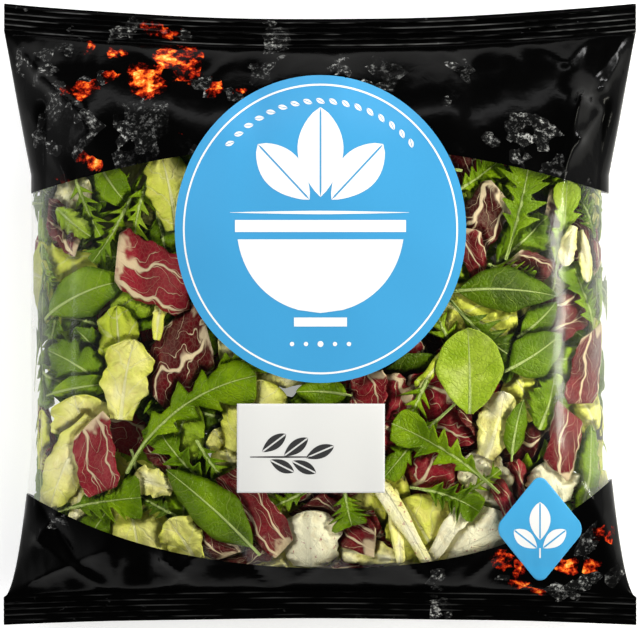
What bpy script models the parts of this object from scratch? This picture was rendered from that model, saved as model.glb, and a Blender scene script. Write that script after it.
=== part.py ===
"""Pillow bag of mixed salad leaves, lying on its back with the printed front up.

The bag is a tube of clear film, crimped shut across its top and its bottom. It is modelled as one closed
solid: the plump body, the two ribbed end seals, the puckers where the film leaves each seal and the folds
that run from the corners. A paper label and a diamond sticker lie on the front. Units are metres, +Z is up,
+X is to the right of the print and +Y is towards the top seal. The origin is under the middle of the bag,
on the surface that it lies on.
"""

import math

import bmesh
import bpy
from mathutils import Vector, noise

# The film: a flat tube, crimped at both ends
BAG_WIDTH = 0.261
BAG_LENGTH = 0.2566
SEAL_LENGTH = 0.0115
SEAL_THICKNESS = 0.0009
RIB_COUNT = 5
RIB_HEIGHT = 0.0005
TOP_EDGE_DIP = 0.0070
BOTTOM_EDGE_DIP = 0.0030
SEAL_HEIGHT = 0.025
CORNER_DROOP = 0.007
SEAL_WAVE = 0.0015
SEAL_WAVE_TURNS = 9
SEAL_WAVE_START = 1.2

# The plump body between the seals. Its side folds draw in over the shoulder run, at the top in a straight
# line and at the bottom mostly near the seal: the lower the power, the rounder the shoulder.
SIDE_PULL = 0.0120
SHOULDER_RUN = 0.060
TOP_SHOULDER_POWER = 1.0
BOTTOM_SHOULDER_POWER = 0.55
FOLD_HEIGHT = 0.031
FOLD_CLIMB = 1.25
FRONT_RISE = 0.039
BACK_DROP = 0.041
FLAT_SPOT_BLEND = 0.006

# The swell is a rounded box: the higher the first power the squarer, and the lower the second the fuller
SWELL_SQUARENESS = 2.6
SWELL_ACROSS = 0.52
SWELL_ALONG = 0.76

# Relief of the film: leaves pressing on it, pleats at the seals, and how fast it fades out at the edges
LUMP_HEIGHT = 0.0012
LUMP_SIZE = 0.030
LUMP_DRAW = 3.1
PUCKER_HEIGHT = 0.0045
PUCKER_REACH = 0.016
PUCKER_SPACING = 0.017
PUCKER_DRAW = 7.3
BACK_PUCKER_SHARE = 0.7
FADE_ON_FRONT = 2
FADE_ON_BACK = 5
FADE_AT_SIDES = 8
FADE_AT_SEALS = 10
FOLD_FADE = 0.6

# The grid that the solid is made on
COLUMNS = 42
BODY_ROWS = 32
SEAL_ROWS = 2 * RIB_COUNT
ROW_CROWDING = 0.9
SHARP_ANGLE = 40

# What is stuck on the front: centre x, centre y, width, height and corner radius
LABEL = (-0.0037, -0.0544, 0.0600, 0.0362, 0.0)
STICKER = (0.0893, -0.0872, 0.0340, 0.0412, 0.3)
STUCK_THICKNESS = 0.0004
GLUE_GAP = 0.0004
LABEL_CELLS = 12
STICKER_CELLS = 10

HALF_WIDTH = BAG_WIDTH / 2
HALF_LENGTH = BAG_LENGTH / 2
BODY_HALF_LENGTH = HALF_LENGTH - SEAL_LENGTH

# Folds of the film on the front, each from x, y to x, y with its height and half width: the long ones run
# from the corners down the sides, and the short ones cross the printed ends.
FOLDS = (
    (-0.129, 0.116, -0.095, 0.077, 0.0065, 0.014),
    (-0.112, 0.084, -0.112, 0.050, -0.0050, 0.011),
    (0.129, 0.116, 0.106, 0.088, 0.0070, 0.013),
    (0.106, 0.090, 0.098, 0.050, 0.0045, 0.011),
    (0.116, 0.084, 0.113, 0.050, -0.0050, 0.010),
    (-0.128, -0.114, -0.088, -0.096, 0.0060, 0.013),
    (-0.118, -0.072, -0.098, -0.104, -0.0050, 0.011),
    (-0.062, -0.112, -0.046, -0.090, 0.0045, 0.010),
    (-0.020, -0.112, -0.034, -0.096, -0.0035, 0.009),
    (0.046, -0.112, 0.030, -0.096, 0.0045, 0.010),
    (0.128, -0.114, 0.112, -0.076, 0.0060, 0.013),
)


def smooth(t):
    """0 below 0, 1 above 1, and an even ease between."""
    t = min(max(t, 0.0), 1.0)
    return t * t * (3 - 2 * t)


def half_width(y):
    """The bag is widest at its flat seals, and the plump body pulls its side folds in."""
    run = min(max((BODY_HALF_LENGTH - abs(y)) / SHOULDER_RUN, 0.0), 1.0)
    return HALF_WIDTH - SIDE_PULL * run ** (TOP_SHOULDER_POWER if y > 0 else BOTTOM_SHOULDER_POWER)


def end_edges(u):
    """y of the bottom and of the top edge: both dip in the middle, where the body takes up film."""
    arch = 1 - u * u
    return -HALF_LENGTH + BOTTOM_EDGE_DIP * arch, HALF_LENGTH - TOP_EDGE_DIP * arch


def seal_level(x, y):
    """Height of the film's middle layer: high along the side folds and lower at the seals."""
    share = x / HALF_WIDTH
    wave = math.sin(SEAL_WAVE_TURNS * share + math.copysign(SEAL_WAVE_START, y))
    at_seal = SEAL_HEIGHT - CORNER_DROOP * share**2 + SEAL_WAVE * wave
    return at_seal + (FOLD_HEIGHT - at_seal) * smooth(FOLD_CLIMB * (1 - (y / BODY_HALF_LENGTH) ** 2))


def plumpness(u, v):
    """0 at the seals and the side folds, 1 in the middle of the body."""
    across = max(1 - abs(u) ** SWELL_SQUARENESS, 0.0) ** SWELL_ACROSS
    along = max(1 - abs(v) ** SWELL_SQUARENESS, 0.0) ** SWELL_ALONG
    return across * along


def fold_relief(x, y):
    """Every fold is a sharp crest, or a valley where its height is negative."""
    relief = 0.0
    for ax, ay, bx, by, height, reach in FOLDS:
        run = Vector((bx - ax, by - ay))
        spot = Vector((x - ax, y - ay))
        t = min(max(spot.dot(run) / run.length_squared, 0.0), 1.0)
        away = (spot - t * run).length / reach
        if away < 1:
            relief += height * (1 - away) ** 2 * (1 - FOLD_FADE * t)
    return relief


def puckers(x, v):
    """Soft pleats where the film leaves a seal and swells into the body."""
    from_seal = (1 - abs(v)) * BODY_HALF_LENGTH
    fade = (from_seal / PUCKER_REACH) * math.exp(1 - from_seal / PUCKER_REACH)
    end = math.copysign(PUCKER_DRAW, v)
    return PUCKER_HEIGHT * fade * noise.noise(Vector((x / PUCKER_SPACING, end, 0.4)))


def lumps(x, y, side):
    """The leaves push the film out unevenly."""
    return LUMP_HEIGHT * noise.noise(Vector((x / LUMP_SIZE, y / LUMP_SIZE, LUMP_DRAW * side)))


def front_height(u, v, x, y):
    """Height of the front film over the body."""
    swell = plumpness(u, v)
    edge = min(1.0, FADE_AT_SIDES * (1 - abs(u)), FADE_AT_SEALS * (1 - abs(v)))
    detail = lumps(x, y, 1) * min(1.0, FADE_ON_FRONT * swell) + (puckers(x, v) + fold_relief(x, y)) * edge
    lowest = seal_level(x, y) + SEAL_THICKNESS / 2
    return max(lowest + FRONT_RISE * swell + detail * min(1.0, FADE_AT_SEALS * swell), lowest)


def on_the_ground(z):
    """The back film is pressed flat where it rests, with an even blend into the flat spot."""
    if z >= FLAT_SPOT_BLEND:
        return z
    if z <= -FLAT_SPOT_BLEND:
        return 0.0
    return (z + FLAT_SPOT_BLEND) ** 2 / (4 * FLAT_SPOT_BLEND)


def back_height(u, v, x, y):
    """Height of the back film over the body."""
    swell = plumpness(u, v)
    detail = (lumps(x, y, -1) + BACK_PUCKER_SHARE * puckers(x, v)) * min(1.0, FADE_ON_BACK * swell)
    return on_the_ground(seal_level(x, y) - SEAL_THICKNESS / 2 - BACK_DROP * swell + detail)


def grid_station(column, row):
    """Where a grid point lies: u across, v along the body, and how far into a seal it is, from 0 to 1."""
    u = math.sin(math.pi / 2 * (2 * column / COLUMNS - 1))
    body_row = min(max(row - SEAL_ROWS, 0), BODY_ROWS)
    reach = ROW_CROWDING * math.pi / 2
    v = math.sin(reach * (2 * body_row / BODY_ROWS - 1)) / math.sin(reach)
    into_seal = max(SEAL_ROWS - row, row - SEAL_ROWS - BODY_ROWS, 0) / SEAL_ROWS
    return u, v, into_seal


def film_point(column, row, front):
    """A point of the front or the back film."""
    u, v, into_seal = grid_station(column, row)
    bottom, top = end_edges(u)
    if into_seal:
        y = top - SEAL_LENGTH * (1 - into_seal) if v > 0 else bottom + SEAL_LENGTH * (1 - into_seal)
    else:
        y = bottom + SEAL_LENGTH + (top - bottom - 2 * SEAL_LENGTH) * (v + 1) / 2
    x = u * half_width(y)
    if into_seal:
        rib = RIB_HEIGHT * (-1) ** round(into_seal * SEAL_ROWS) if into_seal < 1 else 0.0
        z = seal_level(x, y) + rib + (SEAL_THICKNESS / 2 if front else -SEAL_THICKNESS / 2)
    else:
        z = front_height(u, v, x, y) if front else back_height(u, v, x, y)
    return Vector((x, y, z))


def front_at(x, y):
    """Height of the front film above a place on the ground, for what is stuck on it."""
    bottom, top = end_edges(x / HALF_WIDTH)
    v = 2 * (y - bottom - SEAL_LENGTH) / (top - bottom - 2 * SEAL_LENGTH) - 1
    return front_height(x / half_width(y), v, x, y)


def colour_of(name, colour, roughness, alpha=1.0):
    """A plain Principled material."""
    material = bpy.data.materials.new(name)
    material.use_nodes = True
    shader = material.node_tree.nodes["Principled BSDF"]
    shader.inputs["Base Color"].default_value = (*colour, 1)
    shader.inputs["Roughness"].default_value = roughness
    shader.inputs["Metallic"].default_value = 0.0
    shader.inputs["Alpha"].default_value = alpha
    return material


def add_object(name, bm, material):
    """Turns a bmesh into a named object with its material, shaded smooth with its sharp edges kept."""
    bmesh.ops.recalc_face_normals(bm, faces=bm.faces[:])
    mesh = bpy.data.meshes.new(name)
    bm.to_mesh(mesh)
    bm.free()
    mesh.materials.append(material)
    mesh.shade_smooth()
    mesh.set_sharp_from_angle(angle=math.radians(SHARP_ANGLE))
    piece = bpy.data.objects.new(name, mesh)
    bpy.context.scene.collection.objects.link(piece)
    return piece


def make_bag(material):
    """One closed film tube: a flat grid, extruded into two layers and swelled into shape."""
    rows = BODY_ROWS + 2 * SEAL_ROWS
    bm = bmesh.new()
    bmesh.ops.create_grid(bm, x_segments=COLUMNS, y_segments=rows, size=1)
    back = set(bm.verts)
    bmesh.ops.extrude_face_region(bm, geom=bm.faces[:])
    for vert in bm.verts:
        column = round((vert.co.x + 1) / 2 * COLUMNS)
        row = round((vert.co.y + 1) / 2 * rows)
        vert.co = film_point(column, row, vert not in back)
    return add_object("bag", bm, material)


def rounded_square(a, b, radius):
    """Moves a point of the square from -1 to 1 so that every ring of the grid has the rounded outline."""
    ring = max(abs(a), abs(b))
    if ring == 0 or radius == 0:
        return a, b
    straight = 1 - radius
    long_side = 1.0
    short_side = min(abs(a), abs(b)) / ring
    if short_side > straight:
        turn = (short_side - straight) / radius * math.pi / 4
        long_side = straight + radius * math.cos(turn)
        short_side = straight + radius * math.sin(turn)
    across, along = (long_side, short_side) if abs(a) >= abs(b) else (short_side, long_side)
    return math.copysign(across * ring, a), math.copysign(along * ring, b)


def make_stuck(name, place, cells, turned, material):
    """A thin paper piece that follows the film: a rectangle, or a diamond where the grid is turned."""
    centre_x, centre_y, width, height, radius = place
    bm = bmesh.new()
    bmesh.ops.create_grid(bm, x_segments=cells, y_segments=cells, size=1)
    under = set(bm.verts)
    bmesh.ops.extrude_face_region(bm, geom=bm.faces[:])
    reach = 2 - (2 - math.sqrt(2)) * radius
    for vert in bm.verts:
        a, b = rounded_square(vert.co.x, vert.co.y, radius)
        if turned:
            a, b = (a - b) / reach, (a + b) / reach
        x = centre_x + a * width / 2
        y = centre_y + b * height / 2
        level = GLUE_GAP + (0 if vert in under else STUCK_THICKNESS)
        vert.co = Vector((x, y, front_at(x, y) + level))
    return add_object(name, bm, material)


def main():
    for leftover in list(bpy.data.objects):
        bpy.data.objects.remove(leftover)
    film = colour_of("clear_film", (0.16, 0.24, 0.05), 0.18, 0.9)
    paper = colour_of("label_paper", (0.90, 0.90, 0.88), 0.45)
    ink = colour_of("sticker_blue", (0.07, 0.42, 0.80), 0.35)
    make_bag(film)
    make_stuck("label", LABEL, LABEL_CELLS, False, paper)
    make_stuck("sticker", STICKER, STICKER_CELLS, True, ink)


main()
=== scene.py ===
"""A sealed pillow bag of mixed salad leaves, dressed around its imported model.

The clear film, its black printed ends, the print on its front, the paper label, the diamond sticker and the
leaves inside stand in for the plain solids of the model, in the same place and in metres. The bag lies on its
back with the printed front up: +X is to the right of the print and +Y is towards the top seal.
"""

import math
import random
from collections import namedtuple

import bpy
import numpy as np
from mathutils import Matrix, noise


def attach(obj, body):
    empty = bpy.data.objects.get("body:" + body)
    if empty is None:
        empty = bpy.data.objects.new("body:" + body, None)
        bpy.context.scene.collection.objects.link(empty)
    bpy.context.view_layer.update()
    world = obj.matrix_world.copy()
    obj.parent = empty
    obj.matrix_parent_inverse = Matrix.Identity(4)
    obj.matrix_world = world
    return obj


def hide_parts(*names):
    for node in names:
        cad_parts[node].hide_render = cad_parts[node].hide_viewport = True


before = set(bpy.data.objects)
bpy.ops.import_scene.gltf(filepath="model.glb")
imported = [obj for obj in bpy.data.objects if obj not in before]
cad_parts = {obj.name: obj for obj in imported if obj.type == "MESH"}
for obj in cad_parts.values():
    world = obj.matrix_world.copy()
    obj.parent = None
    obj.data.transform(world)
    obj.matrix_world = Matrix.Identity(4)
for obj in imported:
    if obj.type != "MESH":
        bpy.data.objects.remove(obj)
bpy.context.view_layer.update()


# Camera and lights
# The bag is photographed from straight above, from far off. Two broad soft boxes light it without showing in
# the film. The room is bright to the left and right and dark overhead, which keeps the flat film clear. Four
# narrow boxes draw the gleams: right, left, beyond the top, and beyond its right-hand corner for the crease.

CAMERA_HEIGHT = 2.0
SEAL_HEIGHT = 0.025
PICTURE_WIDTH = 640
PICTURE_MIDDLE = (320, 314)
METRES_ACROSS_PICTURE = 0.2633
METRES_PER_PIXEL = METRES_ACROSS_PICTURE / PICTURE_WIDTH
SENSOR_WIDTH = 36.0
VIEW_DISTANCE = 20
PIXELS_PER_SLOPE = PICTURE_WIDTH * (CAMERA_HEIGHT - SEAL_HEIGHT) / METRES_ACROSS_PICTURE

bpy.ops.object.camera_add(location=(0, 0, CAMERA_HEIGHT), rotation=(0, 0, 0))
camera = bpy.context.object
camera.name = "camera"
camera.data.sensor_width = SENSOR_WIDTH
camera.data.lens = SENSOR_WIDTH * (CAMERA_HEIGHT - SEAL_HEIGHT) / METRES_ACROSS_PICTURE
camera.data.clip_end = VIEW_DISTANCE
bpy.context.scene.camera = camera
bpy.context.scene.view_settings.view_transform = "Standard"


def add_soft_box(name, place, size, power, mirrored, colour=(1.0, 1.0, 1.0)):
    """A rectangular soft box that faces the bag. The film shows it only where mirrored is true."""
    bpy.ops.object.light_add(type="AREA", location=place)
    box = bpy.context.object
    box.name = name
    box.data.shape = "RECTANGLE"
    box.data.size, box.data.size_y = size
    box.data.energy = power
    box.data.color = colour
    box.visible_glossy = mirrored
    box.rotation_euler = (-box.location).to_track_quat("-Z", "Y").to_euler()


add_soft_box("key_box", (-0.80, 0.75, 1.35), (1.1, 1.1), 17.0, False)
add_soft_box("fill_box", (0.70, -0.95, 1.30), (1.1, 1.1), 11.2, False)
add_soft_box("gleam_box", (0.78, 0.03, 0.55), (0.66, 0.10), 6.0, True, (1.0, 0.98, 0.84))
add_soft_box("left_box", (-0.82, 0.02, 0.42), (0.50, 0.06), 0.35, True)
add_soft_box("top_box", (0.0, 0.88, 0.40), (0.90, 0.08), 1.3, True)
add_soft_box("corner_box", (0.64, 0.66, 0.17), (0.26, 0.06), 3.0, True)

# How bright the room is, by how far a direction leans to the left or the right, from 0 to 1
ROOM_LIGHT = ((0.0, 0.035), (0.30, 0.045), (0.50, 0.11), (0.70, 0.34), (0.86, 0.85), (1.0, 1.0))
ROOM_STRENGTH = 1.20

world = bpy.data.worlds.new("studio")
world.use_nodes = True
sky = world.node_tree
direction = sky.nodes.new("ShaderNodeTexCoord")
split = sky.nodes.new("ShaderNodeSeparateXYZ")
sideways = sky.nodes.new("ShaderNodeMath")
sideways.operation = "ABSOLUTE"
by_side = sky.nodes.new("ShaderNodeValToRGB")
while len(by_side.color_ramp.elements) < len(ROOM_LIGHT):
    by_side.color_ramp.elements.new(0.5)
for stop, (lean, light) in zip(by_side.color_ramp.elements, ROOM_LIGHT):
    stop.position = lean
    stop.color = (light, light, light, 1.0)
sky.links.new(direction.outputs["Generated"], split.inputs[0])
sky.links.new(split.outputs[0], sideways.inputs[0])
sky.links.new(sideways.outputs[0], by_side.inputs[0])
sky.links.new(by_side.outputs[0], sky.nodes["Background"].inputs["Color"])
sky.nodes["Background"].inputs["Strength"].default_value = ROOM_STRENGTH
bpy.context.scene.world = world


# Finishes
# Every material is built node by node with these two classes. A wire is what comes out of a node, and an
# operator on it adds the node that does the sum.


class Wire:
    """An output of a node that Python's operators work on."""

    def __init__(self, tree, socket):
        self.tree = tree
        self.socket = socket

    def other_output(self, number):
        """Another output of the node that this wire comes from."""
        return Wire(self.tree, self.socket.node.outputs[number])

    def maths(self, operation, *values, clamp=False):
        sum_node = self.tree.nodes.new("ShaderNodeMath")
        sum_node.operation = operation
        sum_node.use_clamp = clamp
        for place, value in zip(sum_node.inputs, (self, *values)):
            plug(self.tree, place, value)
        return Wire(self.tree, sum_node.outputs[0])

    def __add__(self, other):
        return self.maths("ADD", other)

    def __radd__(self, other):
        return self.maths("ADD", other)

    def __sub__(self, other):
        return self.maths("SUBTRACT", other)

    def __rsub__(self, other):
        return self.maths("MULTIPLY_ADD", -1.0, other)

    def __mul__(self, other):
        return self.maths("MULTIPLY", other)

    def __truediv__(self, other):
        return self.maths("DIVIDE", other)

    def __pow__(self, other):
        return self.maths("POWER", other)

    def __abs__(self):
        return self.maths("ABSOLUTE")

    def fraction(self):
        return self.maths("FRACT")

    def least(self, other):
        return self.maths("MINIMUM", other)

    def most(self, other):
        return self.maths("MAXIMUM", other)

    def clamped(self):
        return self.maths("ADD", 0.0, clamp=True)

    def wave(self):
        return self.maths("SINE")


def plug(tree, place, value):
    """Sets an input of a node to a value, or links a wire to it."""
    if isinstance(value, Wire):
        tree.links.new(value.socket, place)
    elif isinstance(value, (tuple, list)) and place.type == "RGBA" and len(value) == 3:
        place.default_value = (*value, 1.0)
    else:
        place.default_value = value


class Finish:
    """A Principled material with any further nodes."""

    def __init__(self, name, **constants):
        self.material = bpy.data.materials.new(name)
        self.material.use_nodes = True
        self.tree = self.material.node_tree
        self.shader = self.tree.nodes["Principled BSDF"]
        for socket, value in constants.items():
            self.feed(socket.replace("_", " ").title().replace("Ior", "IOR"), value)

    def feed(self, socket, value):
        """Sets or links an input of the Principled shader."""
        plug(self.tree, self.shader.inputs[socket], value)

    def node(self, kind, settings=None, inputs=None, output=0):
        """Adds any node: its settings first, then the values or wires of its sockets."""
        made = self.tree.nodes.new("ShaderNode" + kind)
        for key, value in (settings or {}).items():
            if key == "stops":
                ramp = made.color_ramp
                while len(ramp.elements) < len(value):
                    ramp.elements.new(0.5)
                for stop, (position, colour) in zip(ramp.elements, value):
                    stop.position = position
                    stop.color = (*colour, 1.0)
            else:
                setattr(made, key, value)
        for key, value in (inputs or {}).items():
            plug(self.tree, made.inputs[key], value)
        return Wire(self.tree, made.outputs[output])

    def ramp(self, factor, stops):
        """Colours between stops."""
        return self.node("ValToRGB", {"stops": stops}, {0: factor})

    def blend(self, factor, first, second):
        """Mixes two colours."""
        made = {"data_type": "RGBA", "clamp_factor": True}
        return self.node("Mix", made, {0: factor, 6: first, 7: second}, 2)

    def step(self, value, low, high):
        """0 below low, 1 above high, eased between."""
        made = {"interpolation_type": "SMOOTHSTEP"}
        return self.node("MapRange", made, {0: value, 1: low, 2: high, 3: 0.0, 4: 1.0})

    def cloud(self, place, scale, detail=3.0, roughness=0.5, distortion=0.0):
        """Noise from 0 to 1."""
        inputs = {"Vector": place, "Scale": scale, "Detail": detail, "Roughness": roughness}
        return self.node("TexNoise", None, {**inputs, "Distortion": distortion})

    def cells(self, place, scale, feature, output=0):
        """Random cells: how far their edges are, or with F1 and output 2 where their middles are."""
        return self.node("TexVoronoi", {"feature": feature}, {"Vector": place, "Scale": scale}, output)

    def object_place(self):
        return self.node("TexCoord", None, None, 3)

    def bump(self, height, distance, strength):
        """Relief that is felt by the light: the height is in units of the distance, in metres."""
        relief = self.node("Bump", None, {"Strength": strength, "Distance": distance, "Height": height})
        self.feed("Normal", relief)
        return relief


# The film
# A flat tube of clear film, crimped shut across both ends and swelled by what is in it. These functions give
# the shape of the model's solid, with the finer creases of a real film on top. u runs from -1 at the left
# fold to 1 at the right one, and v from -1 at the bottom seal to 1 at the top one.

BAG_WIDTH = 0.261
BAG_LENGTH = 0.2566
SEAL_LENGTH = 0.0115
SEAL_THICKNESS = 0.0009
RIB_COUNT = 5
RIB_HEIGHT = 0.00058
TOP_EDGE_DIP = 0.0070
BOTTOM_EDGE_DIP = 0.0030
SIDE_PULL = 0.0120
SHOULDER_RUN = 0.060
TOP_SHOULDER_POWER = 1.0
BOTTOM_SHOULDER_POWER = 0.55
FOLD_HEIGHT = 0.031
FRONT_RISE = 0.039
BACK_DROP = 0.041
CORNER_DROOP = 0.007
SEAL_WAVE = 0.0015
SEAL_WAVE_TURNS = 9
SEAL_WAVE_START = 1.2
LEVEL_EASE = 1.25
RIB_WEAR_LENGTH = 0.012
RIB_WEAR_WIDTH = 0.003
FLAT_SPOT_BLEND = 0.006
FLAT_SPOT_LEVEL = 0.0003
SWELL_CORNER_POWER = 2.6
SWELL_ACROSS_POWER = 0.52
SWELL_ALONG_POWER = 0.76
CREST_FADE = 0.6
LUMP_HEIGHT = 0.0012
LUMP_SIZE = 0.030
PUCKER_HEIGHT = 0.0045
PUCKER_REACH = 0.016
PUCKER_SPACING = 0.017
WRINKLE_DEPTH = 0.0016
WRINKLE_REACH = 0.006
WRINKLE_SPACING = 0.007
SIDE_DENT_DEPTH = 0.0022
SIDE_DENT_LENGTH = 0.013
SIDE_DENT_SHARE = 0.10
HALF_WIDTH = BAG_WIDTH / 2
HALF_LENGTH = BAG_LENGTH / 2
BODY_HALF_LENGTH = HALF_LENGTH - SEAL_LENGTH

# Each fold and crease of the front: from x, y to x, y, its height, which is negative in a valley, and reach
FOLDS = (
    (-0.129, 0.116, -0.095, 0.077, 0.0065, 0.014),
    (-0.112, 0.084, -0.112, 0.050, -0.0050, 0.011),
    (0.129, 0.116, 0.106, 0.088, 0.0070, 0.013),
    (0.106, 0.090, 0.098, 0.050, 0.0045, 0.011),
    (0.116, 0.084, 0.113, 0.050, -0.0050, 0.010),
    (-0.128, -0.114, -0.088, -0.096, 0.0060, 0.013),
    (-0.118, -0.072, -0.098, -0.104, -0.0050, 0.011),
    (-0.062, -0.112, -0.046, -0.090, 0.0045, 0.010),
    (-0.020, -0.112, -0.034, -0.096, -0.0035, 0.009),
    (0.046, -0.112, 0.030, -0.096, 0.0045, 0.010),
    (0.128, -0.114, 0.112, -0.076, 0.0060, 0.013),
)
CREASES = (
    (-0.1296, 0.1150, -0.1148, 0.0963, 0.0055, 0.0048),
    (-0.1148, 0.0963, -0.0983, 0.0831, 0.0034, 0.0045),
    (-0.0983, 0.0831, -0.0946, 0.0761, 0.0018, 0.0040),
    (-0.1180, 0.0800, -0.1040, 0.0560, 0.0030, 0.0080),
    (0.1296, 0.1143, 0.1160, 0.0925, 0.0060, 0.0048),
    (0.1160, 0.0925, 0.1057, 0.0880, 0.0032, 0.0042),
    (0.1057, 0.0880, 0.1144, 0.0830, 0.0032, 0.0042),
    (0.1144, 0.0830, 0.1057, 0.0707, 0.0034, 0.0046),
    (0.1057, 0.0707, 0.0990, 0.0600, 0.0024, 0.0055),
    (-0.1080, -0.0823, -0.1160, -0.0922, 0.0024, 0.0060),
    (-0.1160, -0.0922, -0.1243, -0.1025, 0.0026, 0.0060),
    (-0.1160, -0.0922, -0.0914, -0.1120, 0.0024, 0.0060),
    (-0.0860, -0.1150, -0.0823, -0.1000, 0.0026, 0.0070),
    (-0.0860, -0.1150, -0.0757, -0.1120, 0.0018, 0.0045),
    (-0.0860, -0.1150, -0.0980, -0.1060, 0.0018, 0.0050),
    (-0.0634, -0.1000, -0.0477, -0.1150, 0.0024, 0.0060),
    (-0.0634, -0.1000, -0.0720, -0.1140, 0.0020, 0.0055),
    (-0.0100, -0.1100, 0.0020, -0.1020, 0.0014, 0.0040),
    (0.0180, -0.1090, 0.0080, -0.0980, 0.0016, 0.0045),
    (0.0600, -0.1100, 0.0700, -0.1000, 0.0016, 0.0045),
    (0.0850, -0.1110, 0.0760, -0.1010, 0.0014, 0.0040),
    (0.1240, -0.1020, 0.1160, -0.0820, 0.0022, 0.0055),
    (-0.0750, 0.1090, -0.0620, 0.1000, 0.0016, 0.0045),
    (-0.0350, 0.1060, -0.0450, 0.0970, 0.0014, 0.0040),
    (0.0050, 0.1040, 0.0120, 0.0940, 0.0014, 0.0040),
    (0.0500, 0.1090, 0.0592, 0.1010, 0.0020, 0.0050),
    (0.0660, 0.1090, 0.0592, 0.1010, 0.0020, 0.0050),
    (0.0760, 0.1090, 0.0815, 0.1030, 0.0016, 0.0045),
    (0.0900, 0.1100, 0.1008, 0.1035, 0.0018, 0.0050),
    (0.1080, 0.1110, 0.1008, 0.1035, 0.0018, 0.0050),
)


def smooth(t):
    """0 below 0, 1 above 1, and an even ease between."""
    t = np.clip(t, 0.0, 1.0)
    return t * t * (3 - 2 * t)


def noise_at(x, y, z):
    """Blender's noise at many places."""
    x, y = np.broadcast_arrays(x, y)
    values = [noise.noise((a, b, z)) for a, b in zip(x.ravel().tolist(), y.ravel().tolist())]
    return np.array(values).reshape(x.shape)


def half_width(y):
    """The bag is widest at its flat seals, and the plump body pulls its side folds in."""
    run = np.clip((BODY_HALF_LENGTH - np.abs(y)) / SHOULDER_RUN, 0.0, 1.0)
    power = np.where(np.asarray(y) > 0, TOP_SHOULDER_POWER, BOTTOM_SHOULDER_POWER)
    return HALF_WIDTH - SIDE_PULL * run**power


def end_edges(u):
    """y of the bottom and of the top edge."""
    arch = 1 - u * u
    return -HALF_LENGTH + BOTTOM_EDGE_DIP * arch, HALF_LENGTH - TOP_EDGE_DIP * arch


def seal_level(x, y):
    """Height of the film's middle layer."""
    share = x / HALF_WIDTH
    wave = np.sin(SEAL_WAVE_TURNS * share + np.copysign(SEAL_WAVE_START, y))
    at_seal = SEAL_HEIGHT - CORNER_DROOP * share**2 + SEAL_WAVE * wave
    return at_seal + (FOLD_HEIGHT - at_seal) * smooth(LEVEL_EASE * (1 - (y / BODY_HALF_LENGTH) ** 2))


def plumpness(u, v):
    """0 at the seals and the side folds, 1 in the middle of the body."""
    across = np.maximum(1 - np.abs(u) ** SWELL_CORNER_POWER, 0.0) ** SWELL_ACROSS_POWER
    along = np.maximum(1 - np.abs(v) ** SWELL_CORNER_POWER, 0.0) ** SWELL_ALONG_POWER
    return across * along


def relief_of(folds, x, y):
    """Every fold is a sharp crest, or a valley, that fades out at its far end."""
    relief = np.zeros(np.broadcast(x, y).shape)
    for ax, ay, bx, by, height, reach in folds:
        dx, dy = bx - ax, by - ay
        t = np.clip(((x - ax) * dx + (y - ay) * dy) / (dx * dx + dy * dy), 0.0, 1.0)
        away = np.hypot(x - ax - t * dx, y - ay - t * dy) / reach
        relief += height * np.maximum(1 - away, 0.0) ** 2 * (1 - CREST_FADE * t)
    return relief


def puckers(x, v):
    """Soft pleats where the film leaves a seal and swells into the body."""
    from_seal = (1 - np.abs(v)) * BODY_HALF_LENGTH
    fade = (from_seal / PUCKER_REACH) * np.exp(1 - from_seal / PUCKER_REACH)
    across = x / PUCKER_SPACING
    soft = np.where(v > 0, noise_at(across, 7.3, 0.4), noise_at(across, -7.3, 0.4))
    fine = np.abs(noise_at(x / WRINKLE_SPACING + from_seal / 0.05, np.sign(v) * 3.1, 1.7))
    sharp = (from_seal / WRINKLE_REACH) * np.exp(1 - from_seal / WRINKLE_REACH)
    return PUCKER_HEIGHT * fade * soft - WRINKLE_DEPTH * sharp * fine


def lumps(x, y, side):
    """The leaves push the film out unevenly."""
    return 0.6 * LUMP_HEIGHT * noise_at(x / LUMP_SIZE, y / LUMP_SIZE, 3.1 * side)


def side_dents(u, y, side):
    """Small dents along the side folds, where the film is slack."""
    near_fold = np.exp(-(((1 - np.abs(u)) / SIDE_DENT_SHARE) ** 2))
    dents = noise_at(np.sign(u) * 4.0 + u * 2.5, y / SIDE_DENT_LENGTH, 5.2 * side)
    return SIDE_DENT_DEPTH * near_fold * dents


def front_height(u, v, x, y):
    """Height of the front film over the body."""
    swell = plumpness(u, v)
    edge = np.minimum(np.minimum(1.0, 8 * (1 - np.abs(u))), 10 * (1 - np.abs(v)))
    folds = relief_of(FOLDS, x, y) + relief_of(CREASES, x, y)
    detail = lumps(x, y, 1) * np.minimum(1.0, 2 * swell) + (puckers(x, v) + folds) * edge
    detail = detail + side_dents(u, y, 1) * np.minimum(1.0, 3 * (1 - np.abs(v)))
    lowest = seal_level(x, y) + SEAL_THICKNESS / 2
    return np.maximum(lowest + FRONT_RISE * swell + detail * np.minimum(1.0, 10 * swell), lowest)


def back_height(u, v, x, y):
    """Height of the back film over the body, pressed flat where it rests."""
    swell = plumpness(u, v)
    detail = (lumps(x, y, -1) + 0.7 * puckers(x, v)) * np.minimum(1.0, 5 * swell)
    z = seal_level(x, y) - SEAL_THICKNESS / 2 - BACK_DROP * swell + detail
    blended = (np.clip(z, -FLAT_SPOT_BLEND, None) + FLAT_SPOT_BLEND) ** 2 / (4 * FLAT_SPOT_BLEND)
    return np.where(z >= FLAT_SPOT_BLEND, z, blended) + FLAT_SPOT_LEVEL


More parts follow.
